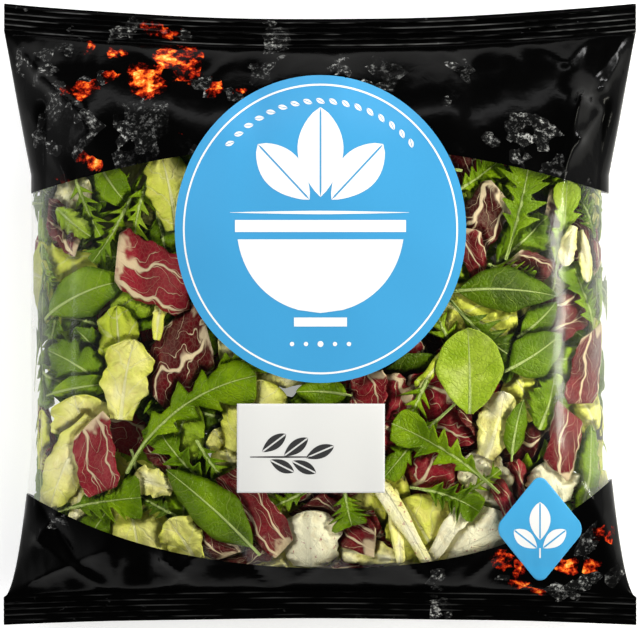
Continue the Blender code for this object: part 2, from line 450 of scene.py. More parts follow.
def body_share(x, y):
    """u and v of a place over the body."""
    bottom, top = end_edges(np.clip(x / HALF_WIDTH, -1, 1))
    v = 2 * (y - bottom - SEAL_LENGTH) / (top - bottom - 2 * SEAL_LENGTH) - 1
    return np.clip(x / half_width(y), -1, 1), np.clip(v, -1, 1)


def front_at(x, y):
    """Height of the front film above a place on the ground."""
    u, v = body_share(x, y)
    return front_height(u, v, x, y)


def back_at(x, y):
    """Height of the back film above a place on the ground."""
    u, v = body_share(x, y)
    return back_height(u, v, x, y)


FIRST_HEIGHT = 0.06
SIGHT_ROUNDS = 4
HALVINGS = 22


def picture_row(x, y, z):
    """The row of the picture, in pixels from its top, where the camera sees a place."""
    return PICTURE_MIDDLE[1] - PIXELS_PER_SLOPE * y / (CAMERA_HEIGHT - z)


def picture_column(x, z):
    """The column of the picture, in pixels from its left, where the camera sees a place."""
    return PICTURE_MIDDLE[0] + PIXELS_PER_SLOPE * x / (CAMERA_HEIGHT - z)


def seen_at(column, row):
    """x and y on the front film of what the camera sees at a pixel, found in rounds from a first height."""
    column, row = np.asarray(column, float), np.asarray(row, float)
    z = np.full(np.broadcast(column, row).shape, FIRST_HEIGHT)
    for _ in range(SIGHT_ROUNDS):
        x = (column - PICTURE_MIDDLE[0]) * (CAMERA_HEIGHT - z) / PIXELS_PER_SLOPE
        y = (PICTURE_MIDDLE[1] - row) * (CAMERA_HEIGHT - z) / PIXELS_PER_SLOPE
        z = front_at(x, y)
    return x, y


# Where the black print ends: two arcs across the front, and the clear window lies between them
WINDOW_TOP_ROW = 144.8
WINDOW_TOP_CURVE = 5.81e-4
WINDOW_BOTTOM_ROW = 568.3
WINDOW_BOTTOM_COLUMN = 330
WINDOW_BOTTOM_CURVE = 6.0e-4
WINDOW_BOTTOM_LEFT_RISE = 2.3e-9
WINDOW_BOTTOM_RIGHT_RISE = 6.6e-9


def window_top(column):
    return WINDOW_TOP_ROW + WINDOW_TOP_CURVE * (column - PICTURE_MIDDLE[0]) ** 2


def window_bottom(column):
    out = column - WINDOW_BOTTOM_COLUMN
    rise = np.where(out > 0, WINDOW_BOTTOM_RIGHT_RISE, WINDOW_BOTTOM_LEFT_RISE)
    return WINDOW_BOTTOM_ROW - WINDOW_BOTTOM_CURVE * out**2 - rise * out**4


def arc_on_film(u, arc, low, high):
    """y on the film, for each u, of an arc that the camera sees: found by halving."""
    low, high = np.full(u.shape, low), np.full(u.shape, high)
    for _ in range(HALVINGS):
        y = (low + high) / 2
        x = u * half_width(y)
        z = front_at(x, y)
        above = picture_row(x, y, z) < arc(picture_column(x, z))
        low, high = np.where(above, low, y), np.where(above, y, high)
    return (low + high) / 2


FRONT_COLUMNS = 190
BACK_COLUMNS = 84
SEAL_ROWS = 4 * RIB_COUNT
PRINT_ROWS = 46
WINDOW_ROWS = 96
COLUMN_CROWDING = 0.985
FILM_MERGE = 0.00002


def spread_columns(count):
    """u of the grid's columns, closer together near the side folds."""
    even = 2 * np.arange(count + 1) / count - 1
    return np.sin(math.pi / 2 * even * COLUMN_CROWDING) / math.sin(math.pi / 2 * COLUMN_CROWDING)


def film_points(u, rows, front):
    """The film between the seals, where rows holds y for each row and each u."""
    x = u[None, :] * half_width(rows)
    bottom, top = end_edges(u)
    v = np.clip(2 * (rows - bottom - SEAL_LENGTH) / (top - bottom - 2 * SEAL_LENGTH) - 1, -1, 1)
    height = front_height if front else back_height
    return np.stack([x, rows, height(u[None, :], v, x, rows)], axis=-1)


def seal_points(u, share, top_end, front):
    """The ribbed seal: share runs from 0 at its inner edge to 1 at the end of the bag."""
    bottom, top = end_edges(u)
    inner = (top - SEAL_LENGTH) if top_end else (bottom + SEAL_LENGTH)
    outer = top if top_end else bottom
    share = share[:, None]
    y = inner + (outer - inner) * share
    x = u[None, :] * half_width(y)
    rib = RIB_HEIGHT * np.sin(2 * math.pi * RIB_COUNT * share) * np.minimum(1, 8 * (1 - share))
    wear = 1 + 0.9 * noise_at(x / RIB_WEAR_LENGTH, y / RIB_WEAR_WIDTH, 9.0)
    half_gap = SEAL_THICKNESS / 2 * np.minimum(1, 12 * (1 - share))
    z = seal_level(x, y) + rib * wear + (half_gap if front else -half_gap)
    return np.stack([x, y, z], axis=-1)


def add_grid(name, along, across):
    """A flat grid of so many squares each way, and how far along and across its vertices are, from 0 to 1."""
    bpy.ops.object.select_all(action="DESELECT")
    bpy.ops.mesh.primitive_grid_add(x_subdivisions=along, y_subdivisions=across, size=2, calc_uvs=True)
    grid = bpy.context.object
    grid.name = name
    flat = np.empty((along + 1) * (across + 1) * 3)
    grid.data.vertices.foreach_get("co", flat)
    flat = flat.reshape(-1, 3)
    return grid, (flat[:, 0] + 1) / 2, (flat[:, 1] + 1) / 2


def add_tube(name, front_points, back_points):
    """A sheet made on a flat grid, wrapped round the bag and joined along its left fold."""
    rings = np.concatenate([front_points, back_points[:, ::-1][:, 1:]], axis=1)
    rows, columns, _ = rings.shape
    tube, round_share, row_share = add_grid(name, columns - 1, rows - 1)
    column = np.rint(round_share * (columns - 1)).astype(int)
    row = np.rint(row_share * (rows - 1)).astype(int)
    tube.data.vertices.foreach_set("co", rings[row, column].ravel())
    bpy.ops.object.mode_set(mode="EDIT")
    bpy.ops.mesh.select_all(action="SELECT")
    bpy.ops.mesh.remove_doubles(threshold=FILM_MERGE)
    bpy.ops.mesh.normals_make_consistent(inside=False)
    bpy.ops.object.mode_set(mode="OBJECT")
    bpy.ops.object.shade_smooth()
    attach(tube, "root")
    return tube


front_u = spread_columns(FRONT_COLUMNS)
back_u = spread_columns(BACK_COLUMNS)
top_arc = arc_on_film(front_u, window_top, 0.0, BODY_HALF_LENGTH)
bottom_arc = arc_on_film(front_u, window_bottom, -BODY_HALF_LENGTH, 0.0)
back_top_arc = np.interp(back_u, front_u, top_arc)
back_bottom_arc = np.interp(back_u, front_u, bottom_arc)
body_bottom = end_edges(front_u)[0] + SEAL_LENGTH
body_top = end_edges(front_u)[1] - SEAL_LENGTH
back_body_bottom = end_edges(back_u)[0] + SEAL_LENGTH
back_body_top = end_edges(back_u)[1] - SEAL_LENGTH


def rows_between(low, high, count):
    share = np.arange(count + 1)[:, None] / count
    return low[None, :] + (high - low)[None, :] * share


def sheet_points(u, low, high, count, front, seal_end=None):
    """The film from low to high, with the seal added at the bottom end or at the top end."""
    body = film_points(u, rows_between(low, high, count), front)
    if seal_end is None:
        return body
    share = np.arange(1, SEAL_ROWS + 1) / SEAL_ROWS
    seal = seal_points(u, share, seal_end == "top", front)
    return np.concatenate([body, seal] if seal_end == "top" else [seal[::-1], body])


# The clear window is the plain film, and its glossy skin catches the soft boxes. Along the side folds, where
# it is slack, it looks a little milky, most of all on the front.
SLACK_START = 0.104
SLACK_FULL = 0.121
MILKY_BAND = (FOLD_HEIGHT - 0.002, FOLD_HEIGHT + 0.004)

clear_window = add_tube(
    "clear_window",
    sheet_points(front_u, bottom_arc, top_arc, WINDOW_ROWS, True),
    sheet_points(back_u, back_bottom_arc, back_top_arc, WINDOW_ROWS, False),
)
clear = Finish("clear_film", base_color=(0.64, 0.65, 0.64), roughness=0.28)
where = clear.object_place()
separate = clear.node("SeparateXYZ", None, {0: where})
side = abs(separate)
slack = clear.step(side, SLACK_START, SLACK_FULL)
folds_seen = clear.cloud(where, 46.0, 3.0, 0.55, 0.6)
above_fold = clear.step(separate.other_output(2), *MILKY_BAND)
haze = slack * folds_seen * (0.08 + above_fold * 0.46) + clear.step(folds_seen, 0.64, 0.80) * 0.02
facing = clear.node("LayerWeight", None, {"Blend": 0.5}, 1)
gleam = facing**4 * 0.42 + 0.019
ripple = clear.cloud(where, 34.0, 2.0, 0.5, 0.3)
skin_normal = clear.node("Bump", None, {"Strength": 0.22, "Distance": 0.0012, "Height": ripple})
skin_inputs = {"Color": (1.0, 1.0, 1.0), "Roughness": 0.14, "Normal": skin_normal}
skin = clear.node("BsdfAnisotropic", {"distribution": "GGX"}, skin_inputs)
through = clear.node("BsdfTransparent", None, {"Color": (0.98, 0.98, 0.975)})
glossy = clear.node("MixShader", None, {0: gleam, 1: through, 2: skin})
hazy = clear.node("MixShader", None, {0: haze, 1: glossy, 2: Wire(clear.tree, clear.shader.outputs[0])})
clear.tree.links.new(hazy.socket, clear.tree.nodes["Material Output"].inputs["Surface"])
clear_window.data.materials.append(clear.material)
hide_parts("bag")


# The printed ends
# The same film, printed black on its inside, with pieces of charcoal and glowing embers in the print. Glossy,
# with the ribs of the crimping jaws across both seals.

printed_top = add_tube(
    "printed_top",
    sheet_points(front_u, top_arc, body_top, PRINT_ROWS, True, "top"),
    sheet_points(back_u, back_top_arc, back_body_top, PRINT_ROWS, False, "top"),
)
printed_bottom = add_tube(
    "printed_bottom",
    sheet_points(front_u, body_bottom, bottom_arc, PRINT_ROWS, True, "bottom"),
    sheet_points(back_u, back_body_bottom, back_bottom_arc, PRINT_ROWS, False, "bottom"),
)

# Charcoal in the print: column and row of the picture, half sizes in pixels, turn in degrees, and how hollow
# the lump looks, from 0, speckled all over, to 1, only its rim
CHARCOAL = (
    (142, 121, 24, 23, 4, 0.15),
    (138, 162, 27, 15, 3, 0.55),
    (66, 131, 27, 26, 30, 0.95),
    (20, 62, 8, 11, 20, 0.3),
    (98, 77, 24, 7, -24, 0.0),
    (47, 84, 12, 17, -30, 0.9),
    (58, 50, 20, 6, -12, 0.3),
    (124, 30, 19, 5, -18, 0.0),
    (190, 38, 8, 6, -30, 0.2),
    (278, 40, 13, 19, 6, 0.30),
    (264, 70, 17, 6, -14, 0.2),
    (236, 99, 12, 8, 0, 0.4),
    (204, 87, 8, 8, 20, 0.1),
    (184, 144, 13, 9, 30, 0.7),
    (338, 66, 9, 11, 10, 0.7),
    (384, 74, 17, 13, 20, 0.5),
    (456, 84, 11, 22, 12, 0.95),
    (458, 150, 8, 7, 0, 0.5),
    (531, 131, 27, 14, 20, 0.45),
    (492, 138, 6, 8, -30, 0.2),
    (522, 161, 8, 6, 0, 0.1),
    (556, 170, 9, 12, 28, 0.1),
    (586, 183, 9, 5, 10, 0.4),
    (58, 517, 11, 9, 0, 0.3),
    (502, 578, 7, 6, 20, 0.0),
    (438, 577, 9, 10, 30, 0.3),
    (588, 541, 8, 20, 14, 0.2),
    (582, 580, 16, 6, -20, 0.3),
    (558, 589, 9, 6, -10, 0.0),
    (616, 573, 9, 8, 0, 0.5),
    (440, 606, 12, 8, 0, 0.6),
    (566, 597, 10, 4, 10, 0.3),
)
# Embers: the same, with how hot each burns in place of how hollow it looks
EMBERS = (
    (146, 81, 23, 22, 12, 1.00),
    (167, 58, 19, 15, 44, 1.05),
    (187, 64, 18, 25, -20, 0.42),
    (117, 53, 13, 9, 20, 0.72),
    (91, 49, 9, 6, -30, 0.42),
    (79, 89, 20, 10, -8, 0.55),
    (115, 76, 13, 6, -14, 0.80),
    (160, 31, 24, 8, 22, 0.36),
    (216, 87, 9, 12, 40, 0.90),
    (237, 91, 12, 5, 14, 0.78),
    (92, 160, 20, 9, 16, 0.70),
    (66, 180, 9, 5, 24, 0.45),
    (181, 132, 6, 4, -10, 0.60),
    (502, 560, 13, 17, 0, 0.45),
    (520, 568, 11, 12, 20, 1.05),
    (522, 585, 20, 7, 20, 0.55),
    (541, 591, 9, 6, 14, 0.90),
    (568, 566, 12, 10, 20, 0.78),
    (591, 568, 12, 7, -24, 0.72),
    (604, 534, 15, 10, 16, 0.42),
)


def print_finish(name):
    """Black ink under glossy film, with charcoal and embers where the lists above put them."""
    ink = Finish(name, roughness=0.15)
    ink.feed("Specular IOR Level", 0.055)
    place = ink.object_place()
    warp = ink.cloud(place, 210.0, 4.0, 0.62)
    wobble = ink.cloud(place, 60.0, 2.0, 0.5)
    jagged = ink.cells(place, 230.0, "F1", 2)

    def lumps_at(spots, source, boxy):
        """The spots, each 1 in its middle and 0 at its rim, and the same times each one's last value."""
        flat = ink.node("VectorMath", {"operation": "MULTIPLY"}, {0: source, 1: (1.0, 1.0, 0.0)})
        highest = weighted = None
        for column, row, half_across, half_along, turn, weight in spots:
            x, y = seen_at(column, row)
            out = ink.node("VectorMath", {"operation": "SUBTRACT"}, {0: flat, 1: (float(x), float(y), 0.0)})
            turned = {0: out, 1: (0.0, 0.0, 0.0), 2: (0.0, 0.0, 1.0), 3: math.radians(turn)}
            out = ink.node("VectorRotate", {"rotation_type": "AXIS_ANGLE"}, turned)
            size = (1 / (half_across * METRES_PER_PIXEL), 1 / (half_along * METRES_PER_PIXEL), 0.0)
            out = ink.node("VectorMath", {"operation": "MULTIPLY"}, {0: out, 1: size})
            if boxy:
                unsigned = ink.node("VectorMath", {"operation": "ABSOLUTE"}, {0: out})
                across = ink.node("SeparateXYZ", None, {0: unsigned})
                here = 1.0 - across.most(across.other_output(1))
            else:
                here = 1.0 - ink.node("VectorMath", {"operation": "LENGTH"}, {0: out}, 1)
            here_weighted = here.clamped() * weight
            highest = here if highest is None else highest.most(here)
            weighted = here_weighted if weighted is None else weighted.most(here_weighted)
        return highest, weighted

    # charcoal: blocky lumps, nearly black, with pale ash in speckles on their faces and along their rims
    lump, hollow = lumps_at(CHARCOAL, jagged, True)
    inside = lump + (wobble - 0.5) * 0.32
    coal_mask = ink.step(inside, 0.02, 0.10)
    open_middle = ink.step(hollow, 0.16, 0.40)
    ash = ink.step(ink.cloud(place, 480.0, 4.0, 0.80) * 0.75 + warp * 0.25, 0.49, 0.63)
    coal = ink.ramp(
        (ash + 0.06) * coal_mask * (1.0 - open_middle * 0.97) * (wobble * 2.4 - 0.42).clamped(),
        [
            (0.0, (0.0008, 0.0008, 0.0008)),
            (0.10, (0.009, 0.009, 0.009)),
            (0.5, (0.085, 0.085, 0.083)),
            (1.0, (0.42, 0.42, 0.40)),
        ],
    )
    # embers: ragged lumps, dull red with bright cracks and black holes, the hottest yellow in the middle
    chipped = ink.blend(0.62, place, jagged)
    ember, hot = lumps_at(EMBERS, chipped, False)
    ember_mask = ink.step(ember + (warp - 0.5) * 0.9 + (wobble - 0.5) * 0.6, 0.16, 0.22)
    cracks = ink.cloud(place, 300.0, 4.0, 0.62)
    heat = hot * 0.84 + (cracks - 0.5) * 2.6
    glow = ink.ramp(
        heat,
        [
            (0.05, (0.004, 0.0006, 0.0004)),
            (0.20, (0.090, 0.003, 0.001)),
            (0.36, (0.330, 0.014, 0.004)),
            (0.54, (0.780, 0.090, 0.010)),
            (0.74, (0.950, 0.300, 0.030)),
            (0.95, (1.0, 0.66, 0.17)),
        ],
    )
    colour = ink.blend(ember_mask, coal, glow)
    # painted highlights: the crests of the ribs are painted pale in broken lines, strongest on the top seal,
    # where more light falls; pale blotches are painted over the seals with the same weighting
    x = ink.node("SeparateXYZ", None, {0: place})
    y = x.other_output(1)
    arch = 1.0 - (x * x) / HALF_WIDTH**2
    from_end = (HALF_LENGTH - arch * TOP_EDGE_DIP - y).least(y + HALF_LENGTH - arch * BOTTOM_EDGE_DIP)
    turns = (1.0 - from_end / SEAL_LENGTH) * (2 * math.pi * RIB_COUNT)
    seal_light_share = ink.step(turns, 0.0, 1.0) * (0.30 + ink.step(y, -0.01, 0.01) * 0.70)
    stretched = ink.node("VectorMath", {"operation": "MULTIPLY"}, {0: place, 1: (0.16, 1.0, 1.0)})
    broken = ink.step(ink.cloud(stretched, 240.0, 3.0, 0.60), 0.44, 0.68)
    painted_rib_highlight = ink.step(turns.wave(), 0.55, 1.0) * broken * seal_light_share
    pale_seal_blotches = ink.step(warp, 0.66, 0.72) * seal_light_share
    # the painted rib highlights and the pale blotches are mixed into the ink's colour as white
    ink.feed("Base Color", ink.blend(painted_rib_highlight * 0.085 + pale_seal_blotches * 0.06, colour, (1.0, 1.0, 1.0)))
    fine = ink.cloud(place, 120.0, 3.0, 0.55, 0.4)
    broad = ink.cloud(place, 38.0, 2.0, 0.5, 0.5)
    ink.bump(fine * 0.30 + broad, 0.0010, 0.40)
    return ink.material


ink_material = print_finish("black_print_film")
for printed_end in (printed_top, printed_bottom):
    printed_end.data.materials.append(ink_material)
    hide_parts("bag")


# The print on the front
# A blue roundel with a thin white ring, printed on the window, with a plain bowl of leaves in white on it.
# Each patch of ink is a sheet that follows the film just over it, so that its edges stay crisp.

FILM_TO_INK = 0.00022
INK_LAYER = 0.00007
EMBLEM_LIFT = FILM_TO_INK + INK_LAYER
RIM_MERGE = 0.000005

# In pixels of the picture: the roundel's middle column and row and its half sizes, and as shares of those how
# far out its ring is and half the width of that ring
ROUNDEL = (320.5, 229.0, 145.7, 153.9)
RING_SHARE = 0.938
RING_HALF_WIDTH = 0.0062
# Bars: left and right end, row, half height, and how far they thin out. Bowl: top row, depth, half width, and
# the share of its depth that is left blank under the rim
EMBLEM_MIDDLE = 320.5
RULE = (230, 409, 212.5, 1.7, 0.92)
RIM = (235, 406, 226, 6.0, 0.0)
BOWL = (221, 92, 84, 0.20)
FOOT = (294, 347, 322, 4.5, 0.0)
# The three leaves in the bowl: direction in degrees, length and width, and where they start from
BOWL_LEAVES = ((90, 90, 46), (47, 76, 40), (133, 76, 40))
BOWL_LEAVES_ROW = 207
BOWL_LEAVES_OUT = 16
BOWL_LEAVES_UP = 10
BOWL_LEAF_GAP = 0.9
# The arc of small leaves over them: how many, directions in degrees, distances, and the size of one
ARC_COUNT = 17
ARC_START = 42
ARC_STEP = 6
ARC_LEAN = 62
ARC_RADII = (122, 128)
ARC_LEAF_HALF_LENGTH = 5
ARC_LEAF_WIDTH = 5.0
ARC_LEAF_GAP = 0.3
# The dots under the bowl, of which the middle one is larger
DOT_COLUMNS = (292, 306, 320.5, 335, 349)
DOT_ROW = 344
DOT_RADIUS = 2.2
MIDDLE_DOT_RADIUS = 3.0


def lay_on_film(name, rows, columns, spots_of, lift, closed=False):
    """Lays a sheet on the front film. spots_of gives picture columns and rows for s and t from 0 to 1."""
    sheet, s, t = add_grid(name, rows, columns)
    x, y = seen_at(*spots_of(s, t))
    sheet.data.vertices.foreach_set("co", np.stack([x, y, front_at(x, y) + lift], axis=-1).ravel())
    bpy.ops.object.mode_set(mode="EDIT")
    bpy.ops.mesh.select_all(action="SELECT")
    if closed:
        bpy.ops.mesh.remove_doubles(threshold=RIM_MERGE)
    bpy.ops.object.mode_set(mode="OBJECT")
    face = sheet.data.polygons[len(sheet.data.polygons) // 2]
    if face.normal.z < 0:
        sheet.data.flip_normals()
    bpy.ops.object.shade_smooth()
    return sheet


def join_sheets(name, sheets, material):
    """Makes one piece of several sheets of the same ink."""
    bpy.ops.object.select_all(action="DESELECT")
    for sheet in sheets:
        sheet.select_set(True)
    bpy.context.view_layer.objects.active = sheets[0]
    if len(sheets) > 1:
        bpy.ops.object.join()
    piece = bpy.context.object
    piece.name = name
    piece.data.materials.clear()
    piece.data.materials.append(material)
    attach(piece, "root")
    return piece


def disc_spots(s, t):
    turn = 2 * math.pi * s
    return ROUNDEL[0] + ROUNDEL[2] * t * np.cos(turn), ROUNDEL[1] - ROUNDEL[3] * t * np.sin(turn)


def ring_spots(s, t):
    turn = 2 * math.pi * s
    out = RING_SHARE + (t * 2 - 1) * RING_HALF_WIDTH
    return ROUNDEL[0] + ROUNDEL[2] * out * np.cos(turn), ROUNDEL[1] - ROUNDEL[3] * out * np.sin(turn)


def ink_finish(name, colour, mottle):
    """Flat ink under glossy film: nearly even, with the faint mottle of a printed solid."""
    ink = Finish(name, roughness=0.36)
    ink.feed("Specular IOR Level", 0.25)
    place = ink.object_place()
    dots = ink.cloud(place, 900.0, 2.0, 0.5)
    broad = ink.cloud(place, 22.0, 2.0, 0.5)
    darker = tuple(part * (1 - mottle) for part in colour)
    lighter = tuple(min(1.0, part * (1 + mottle)) for part in colour)
    ink.feed("Base Color", ink.blend(broad * 0.7 + dots * 0.3, darker, lighter))
    ink.bump(ink.cloud(place, 90.0, 2.0, 0.5), 0.0004, 0.25)
    return ink.material


blue_ink = ink_finish("blue_ink", (0.050, 0.308, 0.590), 0.05)
white_ink = ink_finish("white_ink", (0.82, 0.82, 0.82), 0.02)
disc = lay_on_film("disc", 120, 40, disc_spots, FILM_TO_INK, True)
join_sheets("roundel", [disc], blue_ink)
ring = lay_on_film("ring", 160, 3, ring_spots, EMBLEM_LIFT, True)
join_sheets("roundel_ring", [ring], white_ink)


def half_leaf(base, tip, width, side, gap):
    """One half of a printed leaf, between its middle line and its edge."""
    (base_column, base_row), (tip_column, tip_row) = base, tip
    length = math.hypot(tip_column - base_column, tip_row - base_row)
    ahead = ((tip_column - base_column) / length, (tip_row - base_row) / length)

    def spots(s, t):
        edge = width / 2 * np.sin(math.pi * s**1.12) ** 0.72
        out = side * (np.minimum(gap, edge) + (edge - np.minimum(gap, edge)) * t)
        column = base_column + ahead[0] * length * s - ahead[1] * out
        return column, base_row + ahead[1] * length * s + ahead[0] * out

    return spots


def printed_leaf(base, tip, width, gap, lift):
    """Both halves of a printed leaf."""
    return [lay_on_film("leaf_half", 16, 3, half_leaf(base, tip, width, side, gap), lift) for side in (-1, 1)]


def bowl_spots(top_row, depth, half_across, skip):
    """A half-round bowl below its rim, without the slice at its top that skip leaves out."""

    def spots(s, t):
        down = skip + (1 - skip) * s
        half = half_across * np.sqrt(np.maximum(1 - down**2.2, 0.0))
        return EMBLEM_MIDDLE + half * (2 * t - 1), top_row + depth * down

    return spots


def bar_spots(left, right, row, half_tall, taper):
    """A printed bar, thinning to its ends where taper is 1."""

    def spots(s, t):
        half = half_tall * (1 - taper * np.abs(2 * s - 1) ** 1.5)
        return left + (right - left) * s, row + half * (2 * t - 1)

    return spots


def dot_spots(column, row, radius):
    def spots(s, t):
        return column + radius * t * np.cos(2 * math.pi * s), row - radius * t * np.sin(2 * math.pi * s)

    return spots


emblem = [
    lay_on_film("rule", 40, 2, bar_spots(*RULE), EMBLEM_LIFT),
    lay_on_film("bowl", 24, 24, bowl_spots(*BOWL), EMBLEM_LIFT),
    lay_on_film("rim", 24, 3, bar_spots(*RIM), EMBLEM_LIFT),
    lay_on_film("foot", 12, 3, bar_spots(*FOOT), EMBLEM_LIFT),
]
for degrees, length, width in BOWL_LEAVES:
    across, up = math.cos(math.radians(degrees)), math.sin(math.radians(degrees))
    start = (EMBLEM_MIDDLE + BOWL_LEAVES_OUT * across, BOWL_LEAVES_ROW - BOWL_LEAVES_UP * up)
    end = (
        EMBLEM_MIDDLE + (BOWL_LEAVES_OUT + length) * across,
        BOWL_LEAVES_ROW - (BOWL_LEAVES_UP + length) * up,
    )
    emblem.extend(printed_leaf(start, end, width, BOWL_LEAF_GAP, EMBLEM_LIFT))
for number in range(ARC_COUNT):
    degrees = ARC_START + number * ARC_STEP
    column = ROUNDEL[0] + ARC_RADII[0] * math.cos(math.radians(degrees))
    row = ROUNDEL[1] - ARC_RADII[1] * math.sin(math.radians(degrees))
    lean = math.radians(degrees + ARC_LEAN)
    along, down = ARC_LEAF_HALF_LENGTH * math.cos(lean), -ARC_LEAF_HALF_LENGTH * math.sin(lean)
    start, end = (column - along, row - down), (column + along, row + down)
    emblem.extend(printed_leaf(start, end, ARC_LEAF_WIDTH, ARC_LEAF_GAP, EMBLEM_LIFT))
for column in DOT_COLUMNS:
    radius = MIDDLE_DOT_RADIUS if column == EMBLEM_MIDDLE else DOT_RADIUS
    emblem.append(lay_on_film("dot", 16, 2, dot_spots(column, DOT_ROW, radius), EMBLEM_LIFT, True))
join_sheets("roundel_emblem", emblem, white_ink)


# The paper label and the diamond sticker
# A white paper label stuck on under the roundel, and a blue diamond with rounded corners at the bottom right.
# Both follow the film. Each carries a small plain leaf motif.

LABEL_LIFT = 0.00022
PAPER_THICKNESS = 0.00016
MOTIF_LIFT = LABEL_LIFT + INK_LAYER
MOTIF_GAP = 0.8

# In pixels of the picture: the label's left, right, top and bottom edge, and the diamond's middle column and
# row and its half sizes, with how much of each side its round corners take
LABEL_EDGES = (236.9, 384.8, 403.7, 492.8)
DIAMOND = (540.0, 529.0, 41.7, 51.4)
DIAMOND_ROUNDNESS = 0.30
# The leaves printed on each, by base, tip and width, and their stems, which are bars
LABEL_LEAVES = (
    ((262, 452), (286, 434), 13),
    ((284, 456), (308, 438), 13),
    ((306, 458), (334, 446), 13),
    ((270, 460), (294, 472), 12),
    ((292, 461), (316, 473), 12),
)
LABEL_TWIG = (250, 312, 457, 0.9, 0.5)
DIAMOND_LEAVES = (
    ((540, 540), (540, 502), 21),
    ((537, 548), (514, 530), 16),
    ((543, 548), (566, 530), 16),
)
DIAMOND_STALK = (539.2, 540.8, 553, 5.0, 0.0)


def thicken(sheet, thickness):
    """Gives a sheet the thickness of paper, downwards."""
    wall = sheet.modifiers.new("paper", "SOLIDIFY")
    wall.thickness = thickness
    wall.offset = -1
    bpy.ops.object.select_all(action="DESELECT")
    sheet.select_set(True)
    bpy.context.view_layer.objects.active = sheet
    bpy.ops.object.modifier_apply(modifier="paper")


def label_spots(s, t):
    left, right, top, bottom = LABEL_EDGES
    return left + (right - left) * s, bottom + (top - bottom) * t


def diamond_spots(s, t):
    """A square whose corners are rounded ring by ring, turned by 45 degrees and drawn out."""
    a, b = 2 * s - 1, 2 * t - 1
    ring_size = np.maximum(np.abs(a), np.abs(b))
    straight = 1 - DIAMOND_ROUNDNESS
    short = np.minimum(np.abs(a), np.abs(b)) / np.maximum(ring_size, 1e-9)
    turn = np.maximum(short - straight, 0) / DIAMOND_ROUNDNESS * math.pi / 4
    long_side = straight + DIAMOND_ROUNDNESS * np.cos(turn)
    short_side = np.where(short > straight, straight + DIAMOND_ROUNDNESS * np.sin(turn), short)
    long_side = np.where(short > straight, long_side, 1.0)
    first_long = np.abs(a) >= np.abs(b)
    a = np.sign(a) * ring_size * np.where(first_long, long_side, short_side)
    b = np.sign(b) * ring_size * np.where(first_long, short_side, long_side)
    reach = 2 - (2 - math.sqrt(2)) * DIAMOND_ROUNDNESS
    return DIAMOND[0] + DIAMOND[2] * (a - b) / reach, DIAMOND[1] - DIAMOND[3] * (a + b) / reach


def paper_finish(name, colour, roughness, fibre_scale, tooth):
    """Smooth coated paper: the faintest cloud of fibres in colour and relief."""
    paper = Finish(name, roughness=roughness)
    paper.feed("Specular IOR Level", 0.30)
    place = paper.object_place()
    fibres = paper.cloud(place, fibre_scale, 5.0, 0.65, 0.6)
    broad = paper.cloud(place, 60.0, 2.0, 0.5)
    darker = tuple(part * 0.965 for part in colour)
    paper.feed("Base Color", paper.blend(fibres * 0.5 + broad * 0.5, darker, colour))
    paper.bump(fibres, tooth, 0.35)
    return paper.material


white_paper = paper_finish("coated_white_paper", (0.705, 0.705, 0.692), 0.48, 1400.0, 0.00008)
blue_paper = paper_finish("coated_blue_paper", (0.050, 0.350, 0.660), 0.40, 1400.0, 0.00006)
label_sheet = lay_on_film("label_sheet", 64, 40, label_spots, LABEL_LIFT)
label = join_sheets("paper_label", [label_sheet], white_paper)
thicken(label, PAPER_THICKNESS)
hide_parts("label")
diamond_sheet = lay_on_film("diamond_sheet", 48, 48, diamond_spots, LABEL_LIFT)
diamond = join_sheets("diamond_sticker", [diamond_sheet], blue_paper)
thicken(diamond, PAPER_THICKNESS)
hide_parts("sticker")

grey_ink = ink_finish("dark_grey_ink", (0.035, 0.035, 0.036), 0.05)
motif = []
for base, tip, width in LABEL_LEAVES:
    motif.extend(printed_leaf(base, tip, width, MOTIF_GAP, MOTIF_LIFT))
motif.append(lay_on_film("twig", 24, 2, bar_spots(*LABEL_TWIG), MOTIF_LIFT))
join_sheets("label_motif", motif, grey_ink)
motif = []
for base, tip, width in DIAMOND_LEAVES:
    motif.extend(printed_leaf(base, tip, width, MOTIF_GAP, MOTIF_LIFT))
motif.append(lay_on_film("stalk", 10, 2, bar_spots(*DIAMOND_STALK), MOTIF_LIFT))
join_sheets("sticker_motif", motif, white_ink)


# The leaves
# Cut and whole leaves lie loosely pressed under the film. The ones that show are laid from the front inwards:
# each hugs the film, dips under what already lies over it, and keeps its own waves. More leaves fill the bag
# behind them and lie against the back. Each is a thin wavy blade, modelled flat as a grid and then bent.

ROOM_CELL = 0.001
ROOM_HALF_WIDTH = 0.134
ROOM_HALF_LENGTH = 0.130
EASE_ROUNDS = 4
FILM_CLEARANCE = 0.0008
MIDDLE_CLEARANCE = 0.0012
END_CLEARANCE = 0.010
SIDE_REACH_SHARE = 0.997
SQUEEZE_BAND = 0.08
LEAF_GAP = 0.0006
CURL_RUN = 0.005
RUFFLE_HEIGHT = 0.0009
CREASE_DEPTH = 0.0040
RIB_LIFT = 0.0006
RIB_REACH = 0.0012
PATTERN_PLACES = 17

# The heights left free for leaves: under the front film, and upside down over the back film
room_x = np.arange(-ROOM_HALF_WIDTH, ROOM_HALF_WIDTH + ROOM_CELL / 10, ROOM_CELL)
room_y = np.arange(-ROOM_HALF_LENGTH, ROOM_HALF_LENGTH + ROOM_CELL / 10, ROOM_CELL)
room_grid = np.meshgrid(room_x, room_y, indexing="ij")
middle_level = seal_level(*room_grid)
room = {
    1: front_at(*room_grid) - FILM_CLEARANCE,
    -1: -back_at(*room_grid) - FILM_CLEARANCE,
}


def shifted(field, dx, dy):
    """The field moved by whole cells."""
    return np.roll(np.roll(field, dx, axis=0), dy, axis=1)


